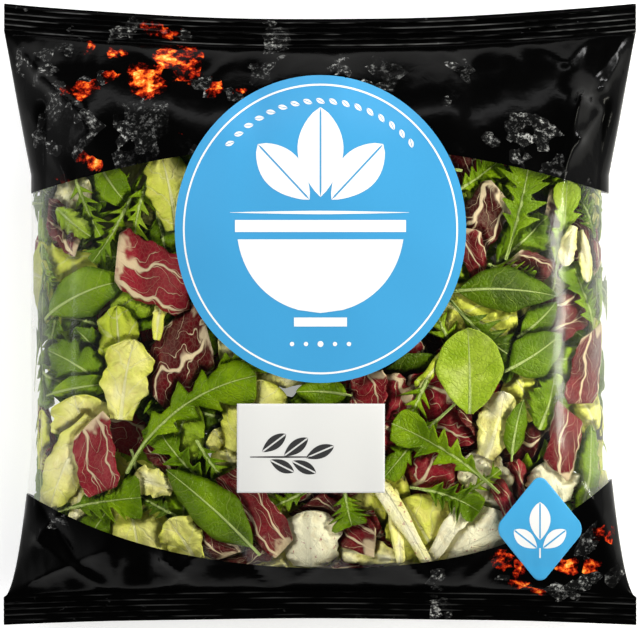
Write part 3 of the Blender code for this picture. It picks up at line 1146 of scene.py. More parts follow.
def eased_room(field):
    """The room left under what lies on top, lowered a little way out from every edge and smoothed."""
    low = field
    for dx, dy in ((1, 0), (-1, 0), (0, 1), (0, -1), (1, 1), (-1, -1), (1, -1), (-1, 1)):
        low = np.minimum(low, shifted(field, dx, dy))
    wide = low
    for dx, dy in ((1, 0), (-1, 0), (0, 1), (0, -1)):
        wide = np.minimum(wide, shifted(low, dx, dy))
    for _ in range(EASE_ROUNDS):
        wide = (2 * wide + shifted(wide, 1, 0) + shifted(wide, -1, 0)) / 4
        wide = (2 * wide + shifted(wide, 0, 1) + shifted(wide, 0, -1)) / 4 + wide / 4
    return np.minimum(wide, low)


def in_room(field, x, y):
    """The field's value at places between its cells."""
    across = np.clip((x - room_x[0]) / ROOM_CELL, 0, len(room_x) - 1.001)
    along = np.clip((y - room_y[0]) / ROOM_CELL, 0, len(room_y) - 1.001)
    i, j = across.astype(int), along.astype(int)
    fx, fy = across - i, along - j
    low = field[i, j] * (1 - fy) + field[i, j + 1] * fy
    high = field[i + 1, j] * (1 - fy) + field[i + 1, j + 1] * fy
    return low * (1 - fx) + high * fx


def refined(values):
    """A grid of values with two more between each pair."""
    rows, columns = values.shape
    values = np.array([np.interp(np.arange(0, rows - 0.99, 1 / 3), np.arange(rows), c) for c in values.T]).T
    rows = values.shape[0]
    return np.array([np.interp(np.arange(0, columns - 0.99, 1 / 3), np.arange(columns), r) for r in values])


def waves(s, t, draw, size):
    """Smooth random waves from 0 to 1 over a leaf."""
    turn = draw.uniform(0, 100)
    return 0.5 + 0.5 * np.clip(noise_at(s * size + turn, t * size * 0.35, turn) * 1.6, -1, 1)


def rocket_half(s, side, draw):
    """A rocket leaf: a thin stalk, blunt lobes with a small point, round gaps between, a broad end lobe."""
    stalk = 0.05 + 0.19 * smooth((s - 0.14) / 0.30)
    half = stalk
    count = draw.choice((3, 3, 4))
    spacing = 0.48 / count
    for k in range(count):
        centre = 0.26 + spacing * (k + 0.5) + draw.uniform(-0.020, 0.020)
        height = draw.uniform(0.62, 1.0) * (0.60 + 0.40 * k / count)
        off = (s - centre) / (spacing * draw.uniform(0.36, 0.46))
        point = np.maximum(1 - np.abs(off - 0.35) / 0.5, 0) ** 1.3
        lobe = 0.64 * np.maximum(1 - off**2, 0) ** 0.9 + 0.44 * point
        half = np.maximum(half, height * lobe + stalk * 0.6)
    end = np.maximum(1 - np.abs((s - 0.84) / 0.17) ** 2.3, 0) ** 0.75 * draw.uniform(0.58, 0.84)
    end = end * (1 + 0.10 * np.abs(((s * 14 + draw.random()) % 1.0) - 0.4))
    half = np.where(s > 0.16, np.maximum(half, end), stalk)
    return half * np.minimum(1, np.sqrt(np.maximum(1 - s, 0) / 0.07))


def sprig_half(s, side, draw):
    """A young rocket leaf, nearly all rib, with narrow pointed lobes."""
    half = 0.10 + 0.08 * s
    for k in range(5):
        centre = 0.20 + 0.155 * k + draw.uniform(-0.03, 0.03)
        spike = np.maximum(1 - np.abs((s - centre) / 0.050), 0) ** 1.3
        half = np.maximum(half, draw.uniform(0.45, 1.0) * spike + 0.1)
    end = 0.36 * np.maximum(1 - np.abs((s - 0.90) / 0.10) ** 2, 0)
    return np.maximum(half, end) * np.minimum(1, np.sqrt(np.maximum(1 - s, 0) / 0.05))


def oval_half(s, side, draw):
    """A whole baby leaf: a short stalk and a long oval with a slightly uneven edge."""
    blade = np.clip((s - 0.10) / 0.90, 0, 1)
    half = np.sin(math.pi * blade**0.86) ** 0.85
    uneven = 0.06 * np.sin(s * 11 + draw.uniform(0, 6)) + 0.04 * np.sin(s * 23 + draw.uniform(0, 6))
    return np.maximum(half * (1 + uneven), np.where(s < 0.16, 0.06, 0.0))


def round_half(s, side, draw):
    """A broad spoon-shaped leaf."""
    half = np.sin(math.pi * np.clip(s, 0, 1) ** 1.18) ** 0.62
    return np.maximum(half * (1 + 0.03 * np.sin(s * 17 + draw.uniform(0, 6))), np.where(s < 0.1, 0.10, 0.0))


def frill_half(s, side, draw):
    """A green salad leaf with a toothed, frilled edge."""
    half = np.sin(math.pi * np.clip(s, 0, 1) ** 0.84) ** 0.62
    saw = ((s * 6.5 + draw.random()) % 1.0) ** 1.6
    deep = np.maximum(np.sin(s * 13 + draw.uniform(0, 6)), 0) ** 3
    return np.maximum(half * (0.78 + 0.26 * saw) * (1 - 0.32 * deep * smooth((s - 0.2) / 0.1)), 0.07)


def curly_half(s, side, draw):
    """A pale heart leaf with a frilled edge."""
    half = 0.50 + 0.50 * smooth(s / 0.45)
    half = half * np.minimum(1, np.maximum(1 - s, 0) / 0.20) ** 0.5
    frill = 0.09 * np.sin(s * 17 + draw.uniform(0, 6)) + 0.04 * np.sin(s * 41 + draw.uniform(0, 6))
    return half * (1 + frill * smooth((s - 0.1) / 0.2))


def cut_half(s, side, draw):
    """A piece cut from a large leaf, with nearly straight edges and blunt corners."""
    half = 1 - draw.uniform(0.0, 0.34) * (s if side > 0 else 1 - s)
    corner = np.minimum(1, np.minimum(s + 0.02, 1.02 - s) / draw.uniform(0.10, 0.26)) ** 0.6
    notch = 0.05 * np.sin(s * 15 + draw.uniform(0, 6)) + 0.03 * np.sin(s * 34 + draw.uniform(0, 6))
    return half * (0.62 + 0.38 * corner) * (1 + notch)


def rib_half(s, side, draw):
    """A cut strip of a thick rib."""
    ends = np.minimum(1, np.minimum(s + 0.02, 1.02 - s) / 0.09) ** 0.7
    return (1 - 0.45 * s) * (0.55 + 0.45 * ends) * (1 + 0.14 * np.sin(s * 9 + draw.uniform(0, 6)))


# For each kind: its outline, rows along, columns across, forward sweep, depth of its waves, how many of them,
# how far its edges curl, thickness, and its share among the leaves that fill the bag
LeafKind = namedtuple("LeafKind", "half_of rows columns sweep depth wave_count curl thickness share")
LEAF_KINDS = {
    "rocket": LeafKind(rocket_half, 72, 8, 0.34, 0.0046, 2.6, 0.0022, 0.00035, 0.24),
    "sprig": LeafKind(sprig_half, 48, 6, 0.80, 0.0040, 2.5, 0.0010, 0.00035, 0.12),
    "oval": LeafKind(oval_half, 30, 10, 0.0, 0.0046, 2.0, 0.0026, 0.00035, 0.13),
    "round": LeafKind(round_half, 26, 14, 0.0, 0.0024, 1.6, 0.0016, 0.00040, 0.05),
    "frill": LeafKind(frill_half, 52, 14, 0.22, 0.0052, 3.4, 0.0030, 0.00040, 0.13),
    "curly": LeafKind(curly_half, 42, 18, 0.0, 0.0040, 2.4, 0.0020, 0.00050, 0.13),
    "cut": LeafKind(cut_half, 26, 18, 0.0, 0.0048, 2.2, 0.0028, 0.00050, 0.14),
    "rib": LeafKind(rib_half, 26, 8, 0.0, 0.0015, 1.5, 0.0016, 0.00140, 0.06),
}
# Small dimples of a blade, by kind: their height and their size
DIMPLES = {
    "rocket": (0.0004, 0.0060),
    "sprig": (0.0004, 0.0060),
    "oval": (0.0004, 0.0060),
    "round": (0.0004, 0.0060),
    "frill": (0.0004, 0.0060),
    "curly": (0.0003, 0.0040),
    "cut": (0.0005, 0.007),
}
RIBBED_KINDS = ("rocket", "oval", "round", "sprig", "frill")
leaf_templates = {}
laid_leaves = {kind: [] for kind in LEAF_KINDS}

for kind, shape in LEAF_KINDS.items():
    template, along, across = add_grid(kind + "_flat", shape.rows, shape.columns)
    bpy.ops.object.shade_smooth()
    row_of = np.rint(along * shape.rows).astype(int)
    column_of = np.rint(across * shape.columns).astype(int)
    leaf_templates[kind] = (template, row_of, column_of)


def crowded(value, limit):
    """Squeezes what would reach past the film into a band before the limit."""
    share = np.abs(value) / limit
    free = 1 - SQUEEZE_BAND
    squeezed = free + SQUEEZE_BAND * (1 - np.exp((free - share) / SQUEEZE_BAND))
    return np.where(share > free, np.sign(value) * limit * squeezed, value)


def leaf_plan(kind, base, tip, width, bend, draw):
    """A leaf seen from above: s along it and t across it, half its width there, and the places x and y."""
    shape = LEAF_KINDS[kind]
    s = np.arange(shape.rows + 1)[:, None] / shape.rows
    t = np.arange(shape.columns + 1)[None, :] / shape.columns * 2 - 1
    length = float(np.hypot(*(tip - base)))
    left = shape.half_of(s, -1, draw)
    right = shape.half_of(s, 1, draw)
    half = np.where(t < 0, left, right) * width / 2
    heading = math.atan2(*(tip - base)[::-1]) + bend * (s[:, 0] - 0.5)
    ahead = np.stack([np.cos(heading), np.sin(heading)], axis=-1)
    beside = np.stack([-np.sin(heading), np.cos(heading)], axis=-1)
    step = length / shape.rows * ahead
    spine = base + np.concatenate([[(0, 0)], np.cumsum((step[1:] + step[:-1]) / 2, axis=0)])
    spine = spine + (tip - spine[-1]) * s
    forward = shape.sweep * np.abs(t) ** 1.3 * half
    if kind == "cut":
        slant = draw.uniform(-0.5, 0.5) * (1 - s) + draw.uniform(-0.5, 0.5) * s
        forward = forward + t * width / 2 * slant
    place = spine[:, None, :] + beside[:, None, :] * (t * half)[..., None]
    place = place + ahead[:, None, :] * forward[..., None]
    y = crowded(place[..., 1], BODY_HALF_LENGTH - END_CLEARANCE)
    x = crowded(place[..., 0], half_width(y) * SIDE_REACH_SHARE)
    return s, t, half, x, y


def leaf_relief(kind, s, t, half, x, y, face, seed, draw):
    """How far each place of a leaf stands back from the film over it."""
    shape = LEAF_KINDS[kind]
    relief = shape.depth * waves(s, t, draw, shape.wave_count)
    edge = np.abs(t) ** 2
    edges_back = draw.choice((False, True)) if face < 0 or seed % 3 else True
    relief = relief + shape.curl * np.minimum(half / CURL_RUN, 1) * (edge if edges_back else 1 - edge)
    if kind in ("curly", "frill"):
        ruffle = np.sin(s * 31 + 2.4 * np.sign(t) + draw.uniform(0, 6)) + np.sin(s * 17 + draw.uniform(0, 6))
        relief = relief + RUFFLE_HEIGHT * (ruffle + 2) * edge
    if kind == "curly":
        turn = draw.uniform(0, 50)
        relief = relief + CREASE_DEPTH * np.abs(noise_at(t * 1.7 + turn, s * 1.1 + turn, 2.6))
    if kind in RIBBED_KINDS:
        relief = relief + RIB_LIFT * np.exp(-((t * half / RIB_REACH) ** 2))
    if kind in DIMPLES:
        height, size = DIMPLES[kind]
        relief = relief + height * (1 + noise_at(x / size, y / size, seed * 0.37))
    return relief


def add_leaf(kind, seed, points, traits, spots, centimetres):
    """Bends a flat blade into place and gives it what its skin is drawn from."""
    template, row_of, column_of = leaf_templates[kind]
    mesh = template.data.copy()
    mesh.vertices.foreach_set("co", points[row_of, column_of].ravel())
    of_leaf = mesh.attributes.new("leaf_traits", "FLOAT_VECTOR", "POINT")
    of_leaf.data.foreach_set("vector", np.tile(traits, len(row_of)))
    of_spot = mesh.attributes.new("leaf_spot", "FLOAT_VECTOR", "POINT")
    of_spot.data.foreach_set("vector", spots[row_of, column_of].ravel())
    corner = np.empty(len(mesh.loops), dtype=int)
    mesh.loops.foreach_get("vertex_index", corner)
    uv = centimetres[row_of, column_of][corner] + seed % PATTERN_PLACES
    mesh.uv_layers[0].data.foreach_set("uv", uv.ravel())
    leaf = bpy.data.objects.new(f"{kind}_{seed}", mesh)
    bpy.context.scene.collection.objects.link(leaf)
    laid_leaves[kind].append(leaf)


def lay_leaf(kind, base, tip, width, bend, tone, face, seed):
    """Lays one leaf from its base to its tip, under all that is laid before it on that face of the bag."""
    draw = random.Random(seed)
    base, tip = np.asarray(base, float), np.asarray(tip, float)
    s, t, half, x, y = leaf_plan(kind, base, tip, width, bend, draw)
    relief = leaf_relief(kind, s, t, half, x, y, face, seed, draw)
    half_thickness = LEAF_KINDS[kind].thickness / 2
    field = room[face]
    level = in_room(eased_room(field), x, y) - relief - half_thickness
    level = np.maximum(level, face * in_room(middle_level, x, y) + MIDDLE_CLEARANCE)
    i = np.rint((refined(x) - room_x[0]) / ROOM_CELL).astype(int)
    j = np.rint((refined(y) - room_y[0]) / ROOM_CELL).astype(int)
    np.minimum.at(field, (i, j), refined(level) - half_thickness - LEAF_GAP)
    ones = np.ones_like(half)
    length = float(np.hypot(*(tip - base)))
    points = np.stack([x, y, face * level], axis=-1)
    spots = np.stack([s * ones, t * ones, half * 100], axis=-1)
    centimetres = np.stack([s * length * 100 * ones, t * half * 100], axis=-1)
    add_leaf(kind, seed, points, (tone, draw.random(), 0.0), spots, centimetres)


# What shows through the window, from the front inwards: kind, column and row of its base, the same of its
# tip, width in pixels, bend, and tone, from 0, dark or red, to 1, pale
SEEN_LEAVES = (
    ("rocket", 126, 474, 256, 376, 62, -1.0, 0.56),
    ("rocket", 506, 260, 532, 150, 66, 0.15, 0.60),
    ("round", 470, 414, 468, 328, 66, 0.1, 0.86),
    ("cut", 116, 258, 188, 286, 62, 0.1, 0.60),
    ("oval", 448, 292, 558, 296, 42, -0.35, 0.36),
    ("rocket", 500, 494, 392, 424, 46, 0.4, 0.62),
    ("rocket", 456, 404, 384, 478, 34, 0.2, 0.60),
    ("cut", 88, 424, 104, 492, 44, 0.1, 0.62),
    ("curly", 120, 420, 134, 340, 46, -0.2, 0.86),
    ("curly", 118, 380, 116, 306, 38, 0.1, 0.68),
    ("curly", 92, 420, 50, 508, 40, 0.4, 0.90),
    ("curly", 84, 452, 74, 396, 58, 0.1, 0.88),
    ("oval", 260, 556, 166, 470, 46, 0.2, 0.44),
    ("rocket", 220, 500, 152, 422, 40, -0.3, 0.46),
    ("cut", 284, 550, 226, 474, 36, 0.2, 0.40),
    ("cut", 560, 474, 568, 410, 36, 0.1, 0.45),
    ("cut", 596, 330, 582, 404, 40, -0.2, 0.38),
    ("rocket", 56, 512, 140, 498, 54, -0.2, 0.50),
    ("rocket", 344, 486, 352, 526, 48, 0.2, 0.52),
    ("rocket", 318, 488, 258, 516, 34, 0.2, 0.56),
    ("rocket", 410, 488, 480, 512, 44, -0.5, 0.46),
    ("sprig", 452, 500, 500, 470, 26, 0.3, 0.66),
    ("cut", 516, 520, 496, 484, 18, 0.2, 0.62),
    ("oval", 512, 462, 524, 400, 22, -0.3, 0.50),
    ("rib", 378, 484, 428, 566, 18, -0.2, 0.98),
    ("rib", 390, 490, 400, 566, 15, -0.2, 0.94),
    ("rib", 466, 510, 430, 562, 20, 0.2, 1.10),
    ("curly", 432, 562, 512, 522, 56, 0.2, 1.12),
    ("curly", 560, 504, 548, 462, 50, 0.1, 1.10),
    ("curly", 486, 458, 504, 392, 38, 0.3, 0.93),
    ("curly", 308, 574, 306, 512, 60, 0.3, 1.10),
    ("curly", 172, 490, 132, 478, 28, 0.1, 0.90),
    ("curly", 196, 562, 168, 520, 38, 0.1, 0.86),
    ("curly", 240, 454, 262, 380, 66, 0.2, 0.84),
    ("curly", 176, 230, 160, 152, 44, 0.2, 0.80),
    ("oval", 44, 396, 120, 384, 24, -0.3, 0.66),
    ("curly", 575, 226, 566, 266, 16, 0.3, 0.98),
    ("curly", 581, 230, 588, 282, 13, -0.3, 0.98),
    ("oval", 504, 372, 562, 334, 44, 0.3, 0.48),
    ("oval", 518, 338, 557, 302, 28, 0.3, 0.42),
    ("rocket", 450, 300, 522, 364, 60, 0.3, 0.34),
    ("oval", 42, 320, 128, 280, 46, -0.6, 0.56),
    ("frill", 56, 208, 90, 236, 26, 0.2, 0.76),
    ("sprig", 74, 176, 100, 236, 30, 0.2, 0.70),
    ("sprig", 148, 176, 132, 256, 36, 0.3, 0.66),
    ("sprig", 130, 196, 92, 262, 36, -0.3, 0.60),
    ("cut", 78, 242, 46, 212, 34, 0.2, 0.34),
    ("curly", 54, 204, 88, 180, 30, 0.1, 0.98),
    ("frill", 108, 390, 46, 350, 52, 0.4, 0.50),
    ("frill", 114, 372, 74, 328, 34, 0.2, 0.46),
    ("rib", 160, 306, 156, 340, 13, 0.1, 0.88),
    ("cut", 206, 326, 154, 398, 62, 0.2, 0.22),
    ("cut", 182, 474, 142, 436, 34, 0.2, 0.30),
    ("rocket", 600, 344, 572, 262, 40, 0.2, 0.58),
    ("frill", 582, 514, 592, 426, 38, 0.3, 0.64),
    ("rocket", 553, 292, 568, 180, 34, 0.2, 0.78),
    ("sprig", 488, 264, 536, 276, 30, 0.3, 0.62),
    ("cut", 466, 228, 484, 274, 26, 0.1, 0.42),
    ("cut", 512, 258, 552, 274, 28, 0.1, 0.34),
    ("sprig", 428, 380, 404, 438, 44, 0.2, 0.60),
    ("oval", 352, 396, 296, 392, 34, 0.3, 0.58),
    ("cut", 368, 372, 370, 410, 38, 0.1, 0.48),
    ("cut", 376, 542, 302, 508, 42, 0.2, 0.36),
    ("curly", 398, 560, 340, 552, 30, 0.1, 0.95),
    ("curly", 444, 570, 404, 500, 64, 0.1, 0.80),
    ("curly", 506, 508, 466, 458, 46, 0.4, 1.02),
    ("cut", 526, 512, 512, 462, 22, 0.1, 0.50),
    ("cut", 486, 430, 458, 408, 24, 0.2, 0.36),
    ("frill", 540, 430, 556, 374, 46, 0.3, 0.62),
    ("curly", 604, 440, 572, 384, 42, 0.2, 0.84),
    ("rib", 418, 388, 448, 348, 10, 0.1, 0.68),
    ("curly", 538, 420, 512, 372, 34, 0.2, 0.82),
    ("sprig", 598, 238, 576, 190, 36, 0.3, 0.50),
    ("cut", 604, 270, 590, 226, 20, 0.1, 0.42),
    ("rocket", 182, 522, 124, 494, 40, 0.4, 0.40),
    ("cut", 230, 556, 188, 528, 32, 0.1, 0.26),
    ("sprig", 36, 262, 66, 300, 34, 0.3, 0.68),
    ("rocket", 60, 300, 48, 366, 36, 0.3, 0.58),
    ("cut", 500, 190, 464, 248, 48, 0.1, 0.10),
    ("rocket", 448, 196, 500, 160, 40, 0.2, 0.56),
    ("rocket", 610, 200, 556, 168, 40, 0.2, 0.58),
    ("curly", 40, 520, 52, 480, 24, 0.1, 0.90),
    ("cut", 40, 480, 58, 448, 26, 0.1, 0.34),
    ("rocket", 110, 330, 60, 318, 40, 0.4, 0.42),
    ("oval", 160, 300, 206, 322, 40, 0.4, 0.56),
    ("rocket", 176, 430, 148, 372, 36, 0.4, 0.40),
    ("oval", 96, 160, 128, 206, 34, 0.2, 0.58),
    ("sprig", 196, 440, 236, 490, 34, 0.4, 0.50),
    ("curly", 236, 480, 214, 430, 30, 0.3, 0.88),
    ("frill", 498, 262, 548, 216, 48, 0.2, 0.50),
    ("oval", 38, 372, 88, 394, 34, 0.2, 0.50),
    ("round", 522, 262, 556, 236, 40, 0.2, 0.35),
    ("oval", 34, 186, 72, 206, 32, 0.2, 0.42),
    ("oval", 604, 330, 598, 262, 30, 0.1, 0.62),
    ("curly", 600, 462, 606, 404, 34, 0.2, 0.86),
    ("oval", 602, 250, 594, 196, 28, 0.1, 0.56),
    ("oval", 600, 486, 604, 440, 26, 0.1, 0.50),
    ("curly", 34, 470, 36, 410, 26, 0.1, 0.80),
    ("oval", 34, 350, 38, 280, 24, 0.1, 0.45),
    ("cut", 536, 334, 588, 296, 46, 0.2, 0.34),
    ("oval", 540, 300, 590, 340, 40, 0.3, 0.40),
    ("frill", 606, 296, 594, 236, 34, 0.2, 0.66),
    ("oval", 604, 372, 598, 306, 30, 0.1, 0.62),
    ("curly", 604, 476, 600, 404, 34, 0.1, 0.80),
    ("frill", 604, 512, 604, 450, 30, 0.2, 0.62),
    ("oval", 600, 250, 606, 200, 24, 0.1, 0.60),
    ("frill", 36, 244, 44, 316, 34, 0.2, 0.62),
    ("rocket", 34, 330, 42, 410, 40, 0.2, 0.56),
    ("cut", 34, 400, 44, 446, 26, 0.2, 0.28),
    ("frill", 32, 440, 40, 506, 30, 0.2, 0.54),
    ("oval", 42, 196, 36, 258, 26, 0.2, 0.60),
    ("cut", 210, 572, 262, 548, 36, 0.2, 0.20),
    ("curly", 262, 576, 322, 560, 34, 0.1, 0.90),
    ("cut", 330, 574, 386, 556, 34, 0.2, 0.26),
    ("curly", 384, 574, 440, 560, 30, 0.1, 0.96),
)
for number, (kind, base_column, base_row, tip_column, tip_row, width, bend, tone) in enumerate(SEEN_LEAVES):
    base_x, base_y = seen_at(base_column, base_row)
    tip_x, tip_y = seen_at(tip_column, tip_row)
    lay_leaf(kind, (base_x, base_y), (tip_x, tip_y), width * METRES_PER_PIXEL, bend, tone, 1, number)

# What fills the bag, by kind: shortest and longest in metres, width as a share of length, and range of tones
# Their tones reach darker than those of the leaves in front: partly the leaves' own colour, and partly
# painted shade for the deep gaps between the leaves
FILL_SIZES = {
    "rocket": (0.050, 0.070, 0.40, 0.30, 0.62),
    "sprig": (0.030, 0.045, 0.55, 0.40, 0.70),
    "oval": (0.035, 0.052, 0.42, 0.25, 0.62),
    "round": (0.026, 0.036, 0.75, 0.60, 0.90),
    "frill": (0.032, 0.052, 0.62, 0.32, 0.78),
    "curly": (0.028, 0.048, 0.75, 0.70, 0.98),
    "cut": (0.026, 0.042, 0.80, 0.15, 0.60),
    "rib": (0.022, 0.040, 0.28, 0.60, 0.95),
}
# For the front and for the back: how many across and along, and the seed of the first
FILL_GRIDS = ((1, 10, 8, 100), (-1, 13, 11, 600))
FILL_CORNER = (-0.117, -0.109)
FILL_SPAN = (0.234, 0.191)

filling = random.Random(41)
for face, count_across, count_along, first_seed in FILL_GRIDS:
    for number in range(count_across * count_along):
        kind = filling.choices(list(LEAF_KINDS), [shape.share for shape in LEAF_KINDS.values()])[0]
        shortest, longest, slimness, darkest, palest = FILL_SIZES[kind]
        length = filling.uniform(shortest, longest)
        turn = filling.uniform(0, 2 * math.pi)
        across = (number % count_across + filling.random()) / count_across
        along = (number // count_across + filling.random()) / count_along
        middle = np.array((FILL_CORNER[0] + FILL_SPAN[0] * across, FILL_CORNER[1] + FILL_SPAN[1] * along))
        reach = np.array((math.cos(turn), math.sin(turn))) * length / 2
        tone = filling.uniform(darkest, palest)
        width = length * slimness * filling.uniform(0.85, 1.15)
        bend = filling.uniform(-0.7, 0.7)
        lay_leaf(kind, middle - reach, middle + reach, width, bend, tone, face, first_seed + number)


class LeafSkin(Finish):
    """A leaf's skin: a midrib with side veins, a fine net between them, and places on the blade."""

    def __init__(self, name, roughness, vein_width, veins_per_centimetre):
        super().__init__(name, roughness=roughness)
        self.feed("Specular IOR Level", 0.30)
        self.feed("Specular Tint", (1.0, 1.0, 0.70))
        self.tone, self.chance, _ = self.numbers_of("leaf_traits")
        self.along, self.across, half = self.numbers_of("leaf_spot")
        self.blade = self.node("UVMap", {"uv_map": "UVMap"})
        centimetres_along = self.node("SeparateXYZ", None, {0: self.blade})
        self.zone = self.cloud(self.blade, 0.62, 2.0, 0.5)
        self.patchy = self.cloud(self.object_place(), 130.0, 3.0, 0.55)
        self.fine = self.cloud(self.blade, 6.0, 3.0, 0.6)
        self.net = self.cells(self.blade, 5.5, "DISTANCE_TO_EDGE")
        from_rib = abs(self.across) * half
        wander = self.cloud(self.blade, 1.6, 2.0, 0.5)
        phase = centimetres_along * veins_per_centimetre - from_rib * 1.15 + wander * 0.9 + self.chance * 3.0
        ray = abs(phase.fraction() - 0.5)
        self.side_vein = 1.0 - self.step(ray, 0.012 * vein_width, 0.050 * vein_width)
        rib_half_width = (1.12 - self.along) * 0.058 * vein_width
        self.rib = 1.0 - self.step(from_rib, rib_half_width * 0.7, rib_half_width * 1.3 + 0.006)
        self.net_line = 1.0 - self.step(self.net, 0.02, 0.09)

    def numbers_of(self, attribute):
        """The three numbers that each vertex holds in an attribute."""
        vector = self.node("Attribute", {"attribute_name": attribute}, None, 1)
        first = self.node("SeparateXYZ", None, {0: vector})
        return first, first.other_output(1), first.other_output(2)

    def finish(self, colour, thick_glow, thin_glow, thinness, through_share, relief, depth):
        """Feeds the colour and the relief, and lets light through the blade, tinted by how thin it is."""
        self.feed("Base Color", colour)
        bump = self.bump(relief, depth, 0.7)
        thick = self.node("BsdfTranslucent", None, {"Color": thick_glow, "Normal": bump})
        thin = self.node("BsdfTranslucent", None, {"Color": thin_glow, "Normal": bump})
        glow = self.node("MixShader", None, {0: thinness, 1: thick, 2: thin})
        surface = Wire(self.tree, self.shader.outputs[0])
        both = self.node("MixShader", None, {0: through_share, 1: surface, 2: glow})
        self.tree.links.new(both.socket, self.tree.nodes["Material Output"].inputs["Surface"])
        return self.material


# Green leaves: rocket, young rocket, baby leaves, round leaves and frilled leaves
skin = LeafSkin("green_leaf_skin", 0.33, 1.0, 1.5)
veins = (skin.side_vein * 0.55).most(skin.net_line * 0.10)
paleness = skin.tone + (skin.zone - 0.5) * 0.70 + (skin.patchy - 0.5) * 0.24 + (skin.fine - 0.5) * 0.10
flesh = skin.ramp(
    paleness,
    [
        (0.0, (0.014, 0.030, 0.0002)),
        (0.28, (0.054, 0.108, 0.0003)),
        (0.50, (0.145, 0.270, 0.0006)),
        (0.70, (0.285, 0.455, 0.0030)),
        (0.88, (0.450, 0.600, 0.045)),
        (1.0, (0.600, 0.700, 0.160)),
    ],
)
colour = skin.blend(veins * 0.60, flesh, (0.46, 0.60, 0.09))
colour = skin.blend(skin.rib * 0.85, colour, (0.62, 0.74, 0.26))
thinness = (paleness.clamped() ** 2).most(skin.rib * 0.85).most(veins * 0.45)
relief = skin.net * 0.9 + skin.fine * 0.5 - veins * 1.3 + skin.rib
glow = ((0.016, 0.036, 0.0002), (0.580, 0.780, 0.060))
green_skin = skin.finish(colour, *glow, thinness, 0.28, relief, 0.0010)

# Pale hearts and ribs: cream where they are thick, yellow to green towards their frilled edges, with warm
# painted shade in the low parts of their crinkles
skin = LeafSkin("pale_leaf_skin", 0.40, 1.4, 1.0)
veins = skin.rib.most(skin.side_vein * 0.5)
edge = abs(skin.across)
paleness = skin.tone - edge * edge * 0.06 + (skin.zone - 0.5) * 0.34 + (skin.patchy - 0.5) * 0.10
flesh = skin.ramp(
    paleness,
    [
        (0.45, (0.230, 0.370, 0.010)),
        (0.62, (0.480, 0.580, 0.030)),
        (0.78, (0.760, 0.780, 0.105)),
        (0.90, (0.950, 0.900, 0.320)),
        (1.0, (1.0, 0.950, 0.670)),
    ],
)
crinkle = skin.cloud(skin.blade, 1.9, 3.0, 0.6, 1.2)
fleck = skin.step(skin.cloud(skin.blade, 4.2, 3.0, 0.6), 0.63, 0.68) * skin.step(skin.chance, 0.45, 0.55)
# painted shade: the low parts of the crinkle are tinted a warm, darker brown
painted_hollow_shade = skin.blend((1.0 - skin.step(crinkle, 0.30, 0.50)) * 0.26, flesh, (0.72, 0.52, 0.20))
flecked = skin.blend(fleck * skin.step(skin.tone, 0.90, 0.96) * 0.75, painted_hollow_shade, (0.42, 0.035, 0.06))
colour = skin.blend(veins * 0.45, flecked, (0.95, 0.91, 0.64))
thinness = skin.step(paleness, 0.45, 1.0)
relief = crinkle * 2.0 + skin.net * 0.4 + skin.fine * 0.3 - veins * 0.6
glow = ((0.230, 0.370, 0.010), (1.0, 0.940, 0.480))
pale_skin = skin.finish(colour, *glow, thinness, 0.11, relief, 0.0010)

# Red leaves: radicchio, dark red with thick cream veins that run out from the cut base, branch and thin out
skin = LeafSkin("red_leaf_skin", 0.34, 1.2, 0.9)
flesh = skin.ramp(
    skin.tone + (skin.zone - 0.5) * 0.50 + (skin.patchy - 0.5) * 0.30 + (skin.fine - 0.5) * 0.30,
    [
        (0.0, (0.026, 0.0006, 0.002)),
        (0.30, (0.095, 0.0016, 0.006)),
        (0.55, (0.260, 0.0060, 0.018)),
        (0.80, (0.420, 0.0240, 0.044)),
        (1.0, (0.560, 0.1300, 0.130)),
    ],
)
bend = skin.cloud(skin.blade, 0.55, 2.0, 0.5)
branch_way = skin.cloud(skin.blade, 1.3, 2.0, 0.5)
fan = abs((skin.across * 0.95 + (bend - 0.5) * 1.7 + skin.chance * 7.0).fraction() - 0.5)
fan_width = (1.08 - skin.along) * (branch_way * 0.22 - 0.02).clamped() + 0.006
fan_vein = 1.0 - skin.step(fan, fan_width * 0.55, fan_width + 0.022)
branch = abs((skin.along * 3.3 - fan * 2.6 + (branch_way - 0.5) * 1.6 + skin.chance * 4.0).fraction() - 0.5)
branch_width = (0.5 - fan) * 0.11
branch_vein = 1.0 - skin.step(branch, branch_width * 0.5, branch_width + 0.020)
cut_base = 1.0 - skin.step(skin.along + (branch_way - 0.5) * 0.7, 0.02, 0.12)
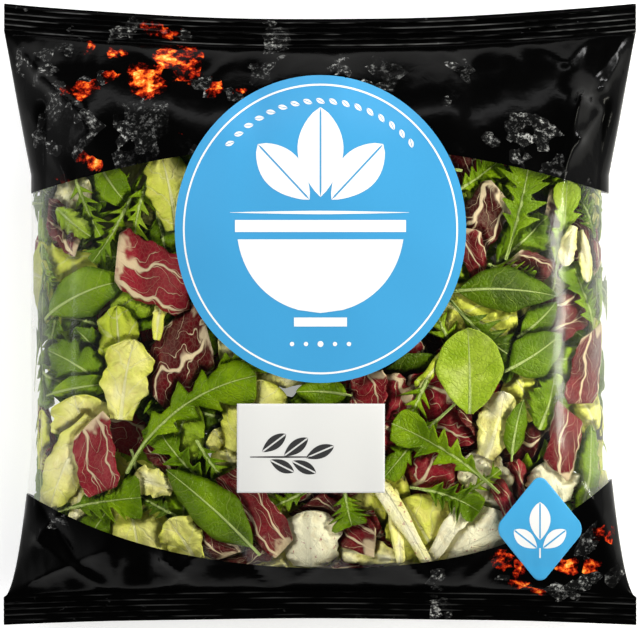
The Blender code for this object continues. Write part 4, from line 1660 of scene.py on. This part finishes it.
marks = fan_vein.most(branch_vein * 0.75).most(cut_base * 0.9).most(skin.net_line * 0.06)
colour = skin.blend(marks * 0.94, flesh, (0.84, 0.68, 0.42))
through_share = skin.tone * 0.24 + 0.08
relief = skin.net * 0.4 + skin.fine * 0.4 + marks
glow = ((0.180, 0.005, 0.013), (0.840, 0.680, 0.420))
red_skin = skin.finish(colour, *glow, marks * 0.94, through_share, relief, 0.0009)

LEAF_PIECES = {
    "rocket": ("rocket_leaves", green_skin, "green_leaf"),
    "sprig": ("young_rocket_leaves", green_skin, "green_leaf"),
    "oval": ("baby_leaves", green_skin, "green_leaf"),
    "round": ("round_leaves", green_skin, "green_leaf"),
    "frill": ("frilled_leaves", green_skin, "green_leaf"),
    "curly": ("heart_leaves", pale_skin, "pale_leaf"),
    "cut": ("radicchio_pieces", red_skin, "red_leaf"),
    "rib": ("cut_ribs", pale_skin, "pale_leaf"),
}
for kind, leaves in laid_leaves.items():
    name, material, slot = LEAF_PIECES[kind]
    bpy.data.objects.remove(leaf_templates[kind][0])
    bpy.ops.object.select_all(action="DESELECT")
    for leaf in leaves:
        leaf.select_set(True)
    bpy.context.view_layer.objects.active = leaves[0]
    bpy.ops.object.join()
    piece = bpy.context.object
    piece.name = name
    blade = piece.modifiers.new("blade", "SOLIDIFY")
    blade.thickness = LEAF_KINDS[kind].thickness
    blade.offset = 0
    blade.use_even_offset = False
    bpy.ops.object.modifier_apply(modifier="blade")
    piece.data.materials.clear()
    piece.data.materials.append(material)
    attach(piece, "root")
    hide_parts("bag")


# The floor
# A plain white table top that the bag lies on, faintly lit from below as a light table is.

FLOOR_SIZE = 14
bpy.ops.object.select_all(action="DESELECT")
bpy.ops.mesh.primitive_plane_add(size=FLOOR_SIZE, location=(0, 0, 0))
floor = bpy.context.object
floor.name = "floor"
table_top = Finish("table_top", base_color=(0.93, 0.93, 0.93), roughness=0.9)
table_top.feed("Specular IOR Level", 0.1)
table_top.feed("Emission Color", (1.0, 1.0, 1.0))
table_top.feed("Emission Strength", 0.35)
floor.data.materials.append(table_top.material)
